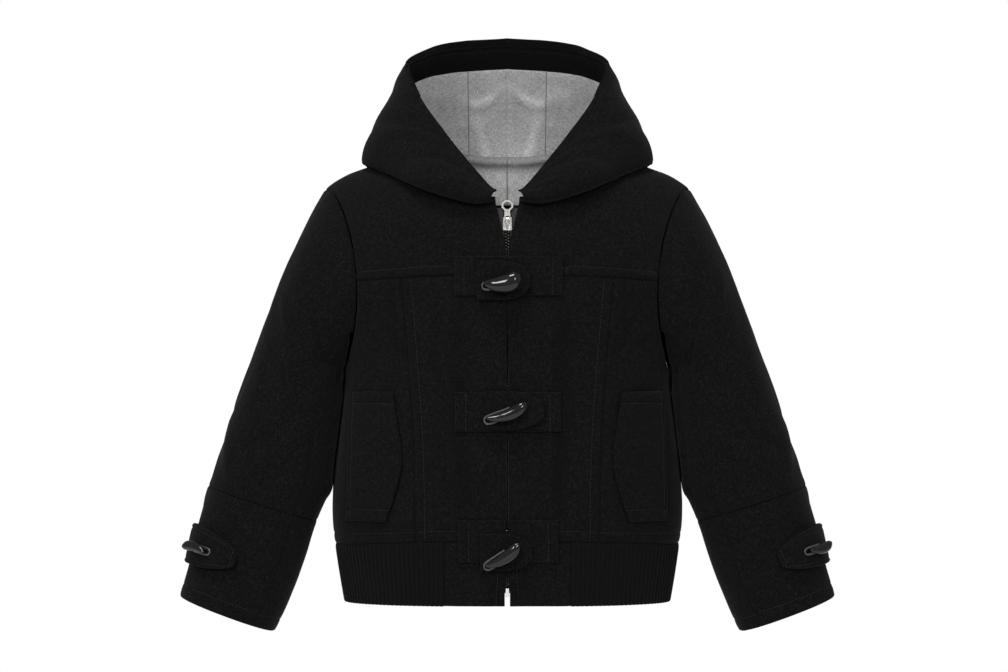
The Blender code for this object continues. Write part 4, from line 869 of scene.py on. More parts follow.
# ---------------------------------------------------------------- finishes
def group(name, inputs, outputs):
    tree = bpy.data.node_groups.new(name, "ShaderNodeTree")
    for label, kind, value in inputs:
        socket = tree.interface.new_socket(label, in_out="INPUT", socket_type=kind)
        if value is not None:
            socket.default_value = value
    for label, kind in outputs:
        tree.interface.new_socket(label, in_out="OUTPUT", socket_type=kind)
    return tree, tree.nodes.new("NodeGroupInput"), tree.nodes.new("NodeGroupOutput")


def add_node(tree, kind, values=(), **settings):
    node = tree.nodes.new(kind)
    for name, value in settings.items():
        setattr(node, name, value)
    for key, value in dict(values).items():
        if isinstance(value, bpy.types.NodeSocket):
            tree.links.new(value, node.inputs[key])
        else:
            node.inputs[key].default_value = value
    return node


def maths(tree, operation, a, b):
    return add_node(tree, "ShaderNodeMath", {0: a, 1: b}, operation=operation).outputs[0]


def build_fibre_group():
    """Short matted fibres: a mask of lighter hairs, slow patches of the nap and its height."""
    tree, given, out = group("matted_fibre", [("Vector", "NodeSocketVector", None),
                             ("Hair Scale", "NodeSocketFloat", 900.0), ("Patch Scale", "NodeSocketFloat", 70.0)],
                             [("Hairs", "NodeSocketFloat"), ("Patches", "NodeSocketFloat"),
                              ("Height", "NodeSocketFloat")])
    vector, hair_scale, patch_scale = given.outputs[0], given.outputs[1], given.outputs[2]
    hairs = add_node(tree, "ShaderNodeTexNoise", {"Vector": vector, "Scale": hair_scale, "Detail": 3.0,
                                                  "Roughness": 0.65, "Distortion": 1.2})
    clump_scale = maths(tree, "MULTIPLY", hair_scale, 0.6)
    clumps = add_node(tree, "ShaderNodeTexNoise", {"Vector": vector, "Scale": clump_scale, "Detail": 2.0})
    patches = add_node(tree, "ShaderNodeTexNoise", {"Vector": vector, "Scale": patch_scale, "Detail": 3.0})
    mixed = maths(tree, "ADD", maths(tree, "MULTIPLY", hairs.outputs[0], 0.75),
                  maths(tree, "MULTIPLY", clumps.outputs[0], 0.25))
    mask = add_node(tree, "ShaderNodeMapRange", {"Value": mixed, "From Min": 0.47, "From Max": 0.66})
    height = maths(tree, "ADD", mixed, maths(tree, "MULTIPLY", patches.outputs[0], 0.25))
    tree.links.new(mask.outputs[0], out.inputs[0])
    tree.links.new(patches.outputs[0], out.inputs[1])
    tree.links.new(height, out.inputs[2])
    return tree


def finish(name, roughness, metallic=0.0, **fixed):
    made = bpy.data.materials.new(name)
    made.use_nodes = True
    shader = made.node_tree.nodes["Principled BSDF"]
    shader.inputs["Roughness"].default_value = roughness
    shader.inputs["Metallic"].default_value = metallic
    for key, value in fixed.items():
        shader.inputs[key.replace("_", " ")].default_value = value
    return made, made.node_tree, shader


def two_tone(tree, mask, dark, light):
    mixed = add_node(tree, "ShaderNodeMix", {"Factor": mask}, data_type="RGBA")
    mixed.inputs[6].default_value = (*dark, 1.0)
    mixed.inputs[7].default_value = (*light, 1.0)
    return mixed.outputs[2]


def bumped(tree, shader, height, strength, distance):
    bump = add_node(tree, "ShaderNodeBump", {"Height": height, "Strength": strength, "Distance": distance})
    tree.links.new(bump.outputs[0], shader.inputs["Normal"])


def rubbed(tree, shader, texture, smooth, rough):
    """Roughness between two values, as worn as the texture is light."""
    worn = add_node(tree, "ShaderNodeMapRange", {"Value": texture, "To Min": smooth, "To Max": rough})
    tree.links.new(worn.outputs[0], shader.inputs["Roughness"])


def painted_shade_in(tree, colour, dark=0.22):
    """The colour with painted shade multiplied in from the "sewn" attribute: in the seams, the stitch grooves,
    the fold troughs and the rib valleys.
    """
    near = add_node(tree, "ShaderNodeAttribute", attribute_name="sewn").outputs["Fac"]
    mixed = add_node(tree, "ShaderNodeMix", {"Factor": near}, data_type="RGBA", blend_type="MULTIPLY")
    tree.links.new(colour, mixed.inputs[6])
    mixed.inputs[7].default_value = (dark, dark, dark, 1.0)
    return mixed.outputs[2]


def fibre_in(tree, fibre, hair_scale, patch_scale):
    place = add_node(tree, "ShaderNodeTexCoord").outputs["Object"]
    node = add_node(tree, "ShaderNodeGroup")
    node.node_tree = fibre
    tree.links.new(place, node.inputs[0])
    node.inputs[1].default_value = hair_scale
    node.inputs[2].default_value = patch_scale
    return place, node


def make_wool(fibre):
    made, tree, shader = finish("napped_wool", 0.97, Sheen_Weight=0.05, Sheen_Roughness=0.45,
                                Sheen_Tint=(0.30, 0.31, 0.33, 1.0), Specular_IOR_Level=0.07)
    _, nap = fibre_in(tree, fibre, 640.0, 70.0)
    slow = add_node(tree, "ShaderNodeMapRange", {"Value": nap.outputs[1], "To Min": 0.55, "To Max": 0.95})
    hairs = maths(tree, "MULTIPLY", nap.outputs[0], slow.outputs[0])
    colour = two_tone(tree, hairs, (0.0003, 0.0003, 0.0004), (0.0050, 0.0051, 0.0056))
    # painted shade in seams, stitch grooves and fold troughs darkens the wool
    tree.links.new(painted_shade_in(tree, colour), shader.inputs["Base Color"])
    bumped(tree, shader, nap.outputs[2], 0.8, 0.0007)
    return made


def make_rib(fibre):
    made, tree, shader = finish("rib_knit", 0.94, Sheen_Weight=0.06, Sheen_Roughness=0.4,
                                Sheen_Tint=(0.28, 0.28, 0.28, 1.0), Specular_IOR_Level=0.08)
    _, nap = fibre_in(tree, fibre, 1300.0, 120.0)
    map_place = add_node(tree, "ShaderNodeUVMap", uv_map="cloth").outputs[0]
    loops = add_node(tree, "ShaderNodeTexWave", {"Vector": map_place, "Scale": 210.0, "Distortion": 0.6,
                                                 "Detail": 1.0}, bands_direction="Y")
    colour = two_tone(tree, maths(tree, "MULTIPLY", nap.outputs[0], loops.outputs[1]),
                      (0.0004, 0.0004, 0.0004), (0.0026, 0.0025, 0.0024))
    # painted shade in the seam and between the ribs darkens the knit
    tree.links.new(painted_shade_in(tree, colour, 0.12), shader.inputs["Base Color"])
    height = maths(tree, "ADD", maths(tree, "MULTIPLY", loops.outputs[1], 0.7), nap.outputs[2])
    bumped(tree, shader, height, 0.7, 0.0005)
    return made


def make_lining(fibre):
    made, tree, shader = finish("grey_lining", 0.9, Sheen_Weight=0.08, Sheen_Roughness=0.5,
                                Specular_IOR_Level=0.15)
    _, nap = fibre_in(tree, fibre, 1500.0, 60.0)
    map_place = add_node(tree, "ShaderNodeUVMap", uv_map="cloth").outputs[0]
    threads = []
    for scale in ((190.0, 2100.0, 1.0), (1900.0, 230.0, 1.0)):
        drawn = add_node(tree, "ShaderNodeMapping", {"Vector": map_place})
        drawn.inputs["Scale"].default_value = scale
        threads.append(add_node(tree, "ShaderNodeTexNoise", {"Vector": drawn.outputs[0], "Scale": 1.0,
                                                             "Detail": 2.0}).outputs[0])
    warp_part, weft_part = (maths(tree, "MULTIPLY", thread, 0.5) for thread in threads)
    fuzz = maths(tree, "MULTIPLY", maths(tree, "SUBTRACT", nap.outputs[0], 0.5), 0.16)
    mixed = maths(tree, "ADD", maths(tree, "ADD", warp_part, weft_part), fuzz)
    mask = add_node(tree, "ShaderNodeMapRange", {"Value": mixed, "From Min": 0.34, "From Max": 0.62})
    colour = two_tone(tree, mask.outputs[0], (0.320, 0.320, 0.326), (0.800, 0.798, 0.802))
    # painted shade in seams and between the lining's folds darkens the lining
    tree.links.new(painted_shade_in(tree, colour, 0.25), shader.inputs["Base Color"])
    warp = add_node(tree, "ShaderNodeTexWave", {"Vector": map_place, "Scale": 330.0}, bands_direction="X")
    weft = add_node(tree, "ShaderNodeTexWave", {"Vector": map_place, "Scale": 330.0}, bands_direction="Y")
    weave = maths(tree, "ADD", maths(tree, "MULTIPLY", warp.outputs[1], weft.outputs[1]), mixed)
    bumped(tree, shader, weave, 0.6, 0.0004)
    return made


def make_tape(fibre):
    made, tree, shader = finish("zip_tape", 0.8, Specular_IOR_Level=0.25)
    place, nap = fibre_in(tree, fibre, 1400.0, 200.0)
    weave = add_node(tree, "ShaderNodeTexWave", {"Vector": place, "Scale": 300.0}, bands_direction="DIAGONAL")
    colour = two_tone(tree, nap.outputs[0], (0.005, 0.005, 0.0055), (0.014, 0.014, 0.015))
    tree.links.new(colour, shader.inputs["Base Color"])
    bumped(tree, shader, weave.outputs[1], 0.5, 0.0003)
    return made


def make_cord():
    made, tree, shader = finish("black_cord", 0.42, Specular_IOR_Level=0.45)
    place = add_node(tree, "ShaderNodeTexCoord").outputs["Object"]
    strands = add_node(tree, "ShaderNodeTexWave", {"Vector": place, "Scale": 260.0, "Distortion": 2.0,
                                                   "Detail": 1.0}, bands_direction="DIAGONAL")
    colour = two_tone(tree, strands.outputs[1], (0.004, 0.004, 0.0042), (0.020, 0.020, 0.021))
    tree.links.new(colour, shader.inputs["Base Color"])
    bumped(tree, shader, strands.outputs[1], 0.8, 0.0004)
    return made


def make_horn():
    made, tree, shader = finish("black_horn", 0.09, Specular_IOR_Level=0.2)
    place = add_node(tree, "ShaderNodeTexCoord").outputs["Object"]
    stretched = add_node(tree, "ShaderNodeMapping", {"Vector": place})
    stretched.inputs["Scale"].default_value = (60.0, 420.0, 420.0)
    streaks = add_node(tree, "ShaderNodeTexNoise", {"Vector": stretched.outputs[0], "Scale": 1.0, "Detail": 3.0})
    colour = two_tone(tree, streaks.outputs[0], (0.0018, 0.0018, 0.0020), (0.0070, 0.0066, 0.0062))
    tree.links.new(colour, shader.inputs["Base Color"])
    rubbed(tree, shader, streaks.outputs[0], 0.03, 0.12)
    bumped(tree, shader, streaks.outputs[0], 0.12, 0.0004)
    return made


def make_nickel():
    made, tree, shader = finish("nickel", 0.22, 1.0)
    place = add_node(tree, "ShaderNodeTexCoord").outputs["Object"]
    rubs = add_node(tree, "ShaderNodeTexNoise", {"Vector": place, "Scale": 900.0, "Detail": 4.0})
    colour = two_tone(tree, rubs.outputs[0], (0.30, 0.295, 0.275), (0.52, 0.51, 0.48))
    tree.links.new(colour, shader.inputs["Base Color"])
    rubbed(tree, shader, rubs.outputs[0], 0.14, 0.34)
    bumped(tree, shader, rubs.outputs[0], 0.15, 0.0002)
    return made


def make_teeth():
    made, tree, shader = finish("dark_teeth", 0.4, 1.0)
    place = add_node(tree, "ShaderNodeTexCoord").outputs["Object"]
    worn = add_node(tree, "ShaderNodeTexNoise", {"Vector": place, "Scale": 1100.0, "Detail": 3.0})
    colour = two_tone(tree, worn.outputs[0], (0.008, 0.008, 0.0085), (0.055, 0.054, 0.052))
    tree.links.new(colour, shader.inputs["Base Color"])
    rubbed(tree, shader, worn.outputs[0], 0.3, 0.6)
    bumped(tree, shader, worn.outputs[0], 0.2, 0.0002)
    return made


def make_thread():
    made, tree, shader = finish("black_thread", 0.7, Specular_IOR_Level=0.15)
    place = add_node(tree, "ShaderNodeTexCoord").outputs["Object"]
    twist = add_node(tree, "ShaderNodeTexNoise", {"Vector": place, "Scale": 2200.0, "Detail": 1.0})
    colour = two_tone(tree, twist.outputs[0], (0.0025, 0.0025, 0.003), (0.012, 0.012, 0.013))
    tree.links.new(colour, shader.inputs["Base Color"])
    bumped(tree, shader, twist.outputs[0], 0.4, 0.0002)
    return made


# ---------------------------------------------------------------- body
def paint_shade_in_troughs(panel, depth, share=0.62):
    """Painted shade along the troughs of the folds, more where they are deeper."""
    panel.sewn = np.maximum(panel.sewn, share * eased(depth / (3.4 * MM)))
    return panel


def crease_front(panel, table):
    x, z = panel.points[..., 0], panel.points[..., 2]
    small = creases(table, x / MM, z / MM)
    panel.height = panel.height + small
    large = FRONT_FOLDS if panel.points[..., 1].mean() < 0 else BACK_FOLDS
    deep = np.array([[folds_at(large, *spot) for spot in zip(*row)] for row in zip(x, z)])
    # painted shade in the troughs of the large folds and the creases
    return paint_shade_in_troughs(panel.soften(), -(deep + small))


def build_fronts(wool):
    for side, sign in SIDES:
        @functools.lru_cache(maxsize=None)
        def spans(level):
            return (angle_of(front_edge_level(level), level), angle_of(PRINCESS(YOKE_HEIGHT + level), level),
                    outer_angle(level))

        def centre(up, across):
            level = (HEM_SEAM - YOKE_HEIGHT) * (1 - up)
            edge, princess, _ = spans(level)
            return body(sign * (edge + (princess - edge) * across), level)

        def flank(up, across):
            level = (HEM_SEAM - YOKE_HEIGHT) * (1 - up)
            _, princess, outer = spans(level)
            return body(sign * (princess + (outer - princess) * across), level)

        panel = Panel(centre, body_outward, marks(10), marks(), FREE, marks(8.5))
        crease_front(panel, FRONT_CREASES)
        panel.sew("foot", 10).sew("top").sew("end", 8.5).sew("start", dip=0.2)
        cloth(f"front_centre_{side}", panel, WOOL, wool, "napped_wool", ("start",))
        panel = Panel(flank, body_outward, marks(10), marks(), marks(), marks())
        crease_front(panel, FRONT_CREASES)
        panel.sew("foot", 10).sew("top").sew("start").sew("end")
        cloth(f"front_side_{side}", panel, WOOL, wool, "napped_wool")


def build_yokes(wool):
    for side, sign in SIDES:
        def yoke(up, across):
            level = min(up * neck_level(across, NECK_SHARE, FRONT_NECK_RISE), 0.999)
            return body(sign * yoke_angle(across, level), level)

        panel = Panel(yoke, body_outward, marks(9), marks(), FREE, marks())
        crease_front(panel, FRONT_CREASES)
        panel.sew("foot", 9).sew("top").sew("end").sew("start", dip=0.2)
        cloth(f"front_yoke_{side}", panel, WOOL, wool, "napped_wool", ("start",))


def build_back(wool):
    def lower(up, across):
        level = (HEM_SEAM - YOKE_HEIGHT) * (1 - up)
        share = 2 * across - 1
        return body(math.copysign(back_angle(abs(share), level), share), level)

    def upper(up, across):
        share = 2 * across - 1
        level = min(up * neck_level(abs(share), BACK_NECK, BACK_NECK_RISE), 0.999)
        return body(math.copysign(back_angle(abs(share), level), share), level)

    for name, surface, foot in (("back", lower, 10), ("back_yoke", upper, 9)):
        panel = Panel(surface, lambda point: np.array((0.0, 1.0, 0.0)),
                      marks(foot), marks(), marks(), marks())
        crease_front(panel, BACK_CREASES)
        panel.sew("foot", foot).sew("top").sew("start").sew("end")
        cloth(name, panel, WOOL, wool, "napped_wool")


# ---------------------------------------------------------------- hem
def build_hem(wool, rib):
    for side, sign in SIDES:
        def block(up, across):
            height = HEM_EDGE + (HEM_SEAM - HEM_EDGE) * up
            level = height - YOKE_HEIGHT
            edge, end = angle_of(FRONT_EDGE(height), level), angle_of(BLOCK_WIDTH, level)
            return body(sign * (edge + (end - edge) * across), level)

        panel = Panel(block, body_outward, FREE, marks(), FREE, marks(edge=0.0), 2.6)
        panel.soften(0.3).sew("top").sew("end").sew("start", 7.5, 0.2).sew("foot", dip=0.1)
        cloth(f"hem_block_{side}", panel, BLOCK_WALL, wool, "napped_wool", ("start", "foot"))

    middle = (HEM_SEAM + HEM_EDGE) / 2 - YOKE_HEIGHT
    start = angle_of(BLOCK_WIDTH, middle)
    turns = np.linspace(start, 2 * math.pi - start, 900)
    path = np.array([body(a, middle) for a in turns])
    run = np.concatenate(([0.0], np.cumsum(np.linalg.norm(np.diff(path, axis=0), axis=1))))
    ribs = round(run[-1] / RIB_PITCH)
    fine = RIB_COLUMNS * ribs
    across = np.interp(np.linspace(0.03 * MM, run[-1] - 0.03 * MM, fine + 1), run, turns)
    heights = np.array([HEM_EDGE, *(HEM_EDGE + np.array([0.4, 1.2, 2.4]) * MM),
                        *np.linspace(HEM_EDGE + 5 * MM, HEM_SEAM - 4 * MM, 13),
                        *(HEM_SEAM - np.array([2.4, 1.2, 0.15]) * MM)])
    phase = np.arange(fine + 1) / RIB_COLUMNS * 2 * math.pi
    crest = 0.5 - 0.5 * np.cos(phase)
    rows = []
    for height in heights:
        level = height - YOKE_HEIGHT
        first = angle_of(BLOCK_WIDTH, level)
        spread = (math.pi - first) / (math.pi - start)
        rows.append([body(math.pi + (a - math.pi) * spread, level) for a in across])
    points = np.array(rows)
    normals = np.cross(np.gradient(points, axis=1), np.gradient(points, axis=0))
    normals /= np.linalg.norm(normals, axis=-1, keepdims=True)
    if np.dot(normals[8, fine // 2], (0.0, 1.0, 0.0)) < 0:
        normals = -normals
    top, foot = (HEM_SEAM - heights)[:, None] / MM, (heights - HEM_EDGE)[:, None] / MM
    drawn = 1 - 0.55 * np.exp(-((top / 3.0) ** 2))
    outer = RIB_RAISE * (crest[None, :] ** 0.8) * drawn - 0.5 * MM * np.exp(-((foot / 0.9) ** 2))
    outer = outer + 0.35 * MM * rumple(points, 0.05) - 0.5 * MM * np.exp(-((top / 1.2) ** 2))
    inner = -RIB_WALL + 0.5 * MM * (crest[None, :] - 0.5) * drawn + 0.5 * MM * np.exp(-((foot / 0.9) ** 2))
    length = np.repeat(run[-1] * np.linspace(0, 1, fine + 1)[None, :], len(heights), axis=0)
    rise = np.repeat((heights - HEM_EDGE)[:, None], fine + 1, axis=1)
    # the last argument is painted shade in the valleys between the ribs
    made = shell("rib_band", points + normals * outer[..., None], points + normals * inner[..., None],
                 length, rise, rib, np.repeat(0.75 * (1 - crest)[None, :] ** 2, len(heights), axis=0))
    settle(made, "rib_knit", "rib_hem")


# ---------------------------------------------------------------- sleeves
def against_body(panel):
    """How far the sleeve's inner side swells until it rests against the body's side."""
    distance, height = np.abs(panel.points[..., 0]), panel.points[..., 2]
    half_width = np.interp(height, BODY.keys, BODY.values[:, 0])
    gap = distance - half_width
    near = eased((9 * MM - gap) / (6 * MM)) * eased((height + 306 * MM) / (16 * MM))
    near = near * eased((-182 * MM - height) / (5 * MM)) * (np.abs(panel.points[..., 1]) < 30 * MM)
    return np.clip(gap - 0.1 * MM, 0.0, 3.2 * MM) * near


def build_sleeves(wool):
    spans = (("outer", -SLEEVE_SEAM, SLEEVE_SEAM), ("under", SLEEVE_SEAM, 2 * math.pi - SLEEVE_SEAM))
    parts = (("upper", CROSS_SEAM, 0.0), ("lower", CUFF_EDGE, CROSS_SEAM))
    for piece, first, last in spans:
        for part, low, high in parts:
            def arm(up, across):
                return sleeve(first + (last - first) * across, low + (high - low) * up)

            def away(point):
                return point - sleeve_centre((low + high) / 2)

            foot = marks(12, 0.0) if part == "lower" else marks()
            laid = Panel(arm, away, foot, marks(edge=0.3), marks(), marks())
            degrees = (first + (last - first) * laid.across) / RAD
            down = (low + (high - low) * laid.up) * SECTION_RUN
            for side, sign in SIDES:
                panel = laid.mirrored(sign)
                table = SLEEVE_CREASES if sign > 0 else RIGHT_SLEEVE_CREASES
                wrapped = np.where(degrees > 220, degrees - 360, degrees)
                panel.height = creases(table, wrapped, down)
                # painted shade in the troughs of the sleeve's creases
                paint_shade_in_troughs(panel.soften(), -panel.height)
                panel.sew("top", dip=0.9 if part == "upper" else 0.5)
                panel.sew("start", dip=0.5).sew("end", dip=0.5)
                panel.sew("foot", 12 if part == "lower" else None, 0.1 if part == "lower" else 0.5)
                panel.folds = against_body(panel)
                free = ("foot",) if part == "lower" else ()
                cloth(f"sleeve_{part}_{piece}_{side}", panel, WOOL, wool, "napped_wool", free)


# ---------------------------------------------------------------- hood
def hood_panel(first, last, low, high, foot, top, start, end, step=3.0):
    """A panel of the hood's left half: first(run share) and last give its ways round, low(way) and
    high(way) its runs."""
    def laid(up, across):
        way = first(up) + (last(up) - first(up)) * across
        return hood(way, low(way) + (high(way) - low(way)) * up)

    made = Panel(laid, lambda point: np.array((point[0], point[1], 0.0)), foot, top, start, end, step)
    way = np.array([[first(u) + (last(u) - first(u)) * a for u, a in zip(*row)]
                    for row in zip(made.up, made.across)])
    run = np.array([[low(w) + (high(w) - low(w)) * u for w, u in zip(*row)]
                    for row in zip(way, made.up)])
    made.chart = (way * WAY_UNITS, run * RUN_UNITS)
    return made


def build_hood(wool, lining):
    def at(value):
        return lambda _: value

    rim, neck_seam = marks(9, 0.0), marks(edge=0.0)
    flank = hood_panel(at(0.0), at(HOOD_CORNER), at(0.0), at(1.0), rim, neck_seam, FREE, marks())
    middle = hood_panel(at(HOOD_CORNER), at(1.0), at(0.0), at(1.0), rim, neck_seam, marks(), OPEN)
    for panel in (flank, middle):
        panel.folds = creases(HOOD_CREASES, *panel.chart)
    for side, sign in SIDES:
        panel = flank.mirrored(sign)
        panel.folds = np.maximum(panel.folds, 0.0)
        panel.height = panel.height + np.minimum(flank.folds, 0.0)
        panel.soften(0.5).sew("foot", dip=0.1).sew("end").sew("start", dip=0.1)
        cloth(f"hood_side_{side}", panel, WOOL, wool, "napped_wool", ("foot", "start"))
    panel = middle.both_halves()
    panel.height = np.minimum(panel.folds, 0.0)
    panel.folds = np.maximum(panel.folds, 0.0)
    panel.soften(0.5).sew("foot", 9, 0.1).sew("start").sew("end")
    cloth("hood_centre", panel, WOOL, wool, "napped_wool", ("foot",))

    inset = -(WOOL + SEAM)
    facing = hood_panel(at(FACING_WAY), at(1.0), at(0.0), facing_edge, rim, marks(), FREE, OPEN, 2.6)
    panel = facing.both_halves()
    panel.soften(0.25).sew("foot", 9, 0.1, 0.2).sew("top", dip=0.5, full=0.1)
    panel.stitches.append(("foot", 16.0))
    cloth("hood_facing", panel, LINING, wool, "napped_wool", ("foot", "start", "end"), inset, True)

    flank = hood_panel(at(LINING_WAY), lambda up: strip_way(round(up, 6)), facing_edge, at(1.0),
                       marks(edge=0.15), marks(edge=0.0), FREE, marks(), 2.4)
    strip = hood_panel(lambda up: strip_way(round(up, 6)), at(1.0), facing_edge, at(1.0),
                       marks(edge=0.15), marks(edge=0.0), marks(), marks(), 2.4)
    for panel_name, laid, first_free in (("side", flank, ("start",)), ("strip", strip, ())):
        folds = np.maximum(creases(LINING_CREASES, *laid.chart), 0.0)
        for side, sign in SIDES:
            panel = laid.mirrored(sign)
            shift = 1.0 if sign > 0 else 0.8
            fade = eased(panel.foot / (12 * MM)) * eased(panel.top / (9 * MM))
            slack = 0.5 + 0.5 * rumple(panel.points, 0.022, 11.0)
            fade = fade * (eased(panel.start / (16 * MM)) if first_free else 1.0)
            panel.folds = (folds * shift + 1.1 * MM * slack * slack) * fade
            # painted shade in the valleys between the lining's folds
            paint_shade_in_troughs(panel, 3.4 * MM - 2.0 * panel.folds, 0.38)
            panel.sew("foot", dip=0.5).sew("top", dip=0.5).sew("start", dip=0.45).sew("end", dip=0.45)
            cloth(f"hood_lining_{panel_name}_{side}", panel, LINING, lining, "grey_lining",
                  first_free, inset, True)


# ---------------------------------------------------------------- pockets, tabs and straps
def build_pockets(wool):
    for side, sign in SIDES:
        def pocket(up, across):
            height = (-320 + 117 * up) * MM
            free, sewn = POCKET(height)
            return front_point(sign * (free + (sewn - free) * across), height)

        panel = Panel(pocket, lambda point: np.array((0.0, -1.0, 0.0)), marks(11, 0.0), marks(11, 0.0),
                      marks(5.5, 0.0), marks(4.6, 0.0), 2.4)
        lift = LAY + TAB_WALL + POCKET_GAPE * (1 - panel.across) ** 3
        panel.soften(0.35).sew("foot", 11, 0.0).sew("top", 11, 0.0).sew("start", dip=0.0).sew("end", 4.6, 0.0)
        cloth(f"pocket_{side}", panel, TAB_WALL, wool, "napped_wool", ALL_EDGES, lift)


def build_tabs(wool):
    def ahead(point):
        return np.array((0.0, -1.0, 0.0))

    for row, (right_x, left_x, top, foot, tab_x, tip_x, tab_top, tab_foot) in TAB_ROWS.items():
        for side, outer_x, sign in (("right", right_x, -1), ("left", left_x, 1)):
            def patch(up, across):
                place = sign * 1.4 + (outer_x - sign * 1.4) * across
                return front_point(place * MM, (foot + (top - foot) * up) * MM)

            panel = Panel(patch, ahead, marks(3.6, 0.0)[:8], marks(3.6, 0.0)[:8], FREE, marks(9.0, 0.0), 2.4)
            panel.soften(0.25).sew("end", 9.0, 0.0, 0.35)
            cloth(f"tab_patch_{row}_{side}", panel, TAB_WALL, wool, "napped_wool", ALL_EDGES, LAY + TAB_WALL)
        middle, half = (tab_top + tab_foot) / 2, (tab_top - tab_foot) / 2

        def tab(up, across):
            narrow = (1 - max(0.0, (across - TAB_ROUND) / (1.02 - TAB_ROUND)) ** 2.4) ** 0.5
            place = tab_x + (tip_x - tab_x) * across
            return front_point(place * MM, (middle + (2 * up - 1) * half * narrow) * MM)

        panel = Panel(tab, ahead, FREE, FREE, FREE, FREE, 2.0)
        lift = 2 * LAY + 2 * TAB_WALL + TAB_PROUD * panel.across**2
        panel.soften(0.25)
        cloth(f"tab_{row}", panel, TAB_WALL, wool, "napped_wool", ALL_EDGES, lift)


def build_straps(wool):
    def strap(up, across):
        narrow = (1 - max(0.0, (across - STRAP_ROUND) / (1.02 - STRAP_ROUND)) ** 2.2) ** 0.5
        first, last = STRAP_ANGLES
        section = STRAP_SECTION - 0.15 * across + (1 - 2 * up) * STRAP_HALF * narrow
        return sleeve((first + (last - first) * across) * RAD, section)

    laid = Panel(strap, lambda point: point - sleeve_centre(STRAP_SECTION), marks(4.2, 0.0), marks(4.2, 0.0),
                 FREE, marks(4.2, 0.0), 2.4)
    share = laid.across
    lift = STRAP_LAY + 1.2 * MM * eased(share / 0.35) + 1.4 * MM * eased((share - 0.6) / 0.4) + STRAP_WALL
    for side, sign in SIDES:
        panel = laid.mirrored(sign)
        panel.soften(0.25).sew("foot", 4.2, 0.0, 0.2).sew("top", 4.2, 0.0, 0.2).sew("end", 4.2, 0.0, 0.1)
        cloth(f"cuff_strap_{side}", panel, STRAP_WALL, wool, "napped_wool", ALL_EDGES, lift)


# ---------------------------------------------------------------- toggles and cords
def merged_copy(name, node, finish_of_it, bevel=0.0, subdivide=0):
    """A copy of a solid's mesh with its loose triangles merged, its flats kept and its edges eased."""
    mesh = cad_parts[node].data.copy()
    mesh.name = name
    work = bmesh.new()
    work.from_mesh(mesh)
    bmesh.ops.remove_doubles(work, verts=work.verts, dist=2e-6)
    if not subdivide:
        bmesh.ops.dissolve_limit(work, angle_limit=2 * RAD, verts=work.verts, edges=work.edges)
    work.to_mesh(mesh)
    work.free()
    mesh.shade_smooth()
    if not subdivide:
        mesh.set_sharp_from_angle(angle=40 * RAD)
    mesh.materials.clear()
    mesh.materials.append(finish_of_it)
    made = bpy.data.objects.new(name, mesh)
    bpy.context.scene.collection.objects.link(made)
    if bevel:
        eased_edges = made.modifiers.new("eased", "BEVEL")
        eased_edges.width = bevel
        eased_edges.segments = 2
        eased_edges.limit_method = "ANGLE"
        eased_edges.angle_limit = 40 * RAD
    if subdivide:
        finer = made.modifiers.new("finer", "SUBSURF")
        finer.levels = subdivide
        finer.render_levels = subdivide
    return made


def toggle_sections(node):
    """The solid toggle's sections from its narrow end: middle, half width vector, half height vector."""
    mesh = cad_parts[node].data
    spots = np.unique(np.round([v.co[:] for v in mesh.vertices], 7), axis=0)
    middle = spots.mean(axis=0)
    along = np.linalg.svd(spots - middle)[2][0]
    order = np.argsort((spots - middle) @ along)
    rings = [spots[order[i:i + 8]] for i in range(0, 72, 8)]
    side = unit(np.cross(along, (0.0, 1.0, 0.0)))
    up = np.cross(side, along)
    sections = []
    for ring in rings:
        centre = ring.mean(axis=0)
        turns = np.arctan2((ring - centre) @ up, (ring - centre) @ side)
        size_side = 2 / 8 * ((ring - centre) * np.cos(turns)[:, None]).sum(axis=0)
        size_up = 2 / 8 * ((ring - centre) * np.sin(turns)[:, None]).sum(axis=0)
        sections.append((centre, size_side, size_up))
    return sections


def build_toggles(horn, cord):
    names = ("top", "middle", "bottom", "cuff_right", "cuff_left")
    turns = np.linspace(0, 2 * math.pi, TOGGLE_SIDES + 1)[:-1]
    for name in names:
        sections = toggle_sections(f"toggle_{name}")
        table = Profile(*[(i / 8, *np.concatenate(section)) for i, section in enumerate(sections)],
                        scale=1, key_scale=1)
        steps = [(0.0, 0.45), (0.0, 0.8), (0.012, 0.95)] + [(s, 1.0) for s in np.linspace(0.04, 0.96, 30)]
        steps += [(0.988, 0.95), (1.0, 0.8), (1.0, 0.45)]
        vertices = []
        for share, size in steps:
            row = table(share)
            for turn in turns:
                vertices.append(row[0:3] + (row[3:6] * math.cos(turn) + row[6:9] * math.sin(turn)) * size)
        faces = tube_faces(len(steps), TOGGLE_SIDES)
        settle(add_mesh(f"horn_toggle_{name}", vertices, faces, None, horn), "black_horn", f"toggle_{name}")
        loop = merged_copy(f"loop_{name}", f"cord_loop_{name}", cord, subdivide=2)
        settle(loop, "black_cord", f"cord_loop_{name}")


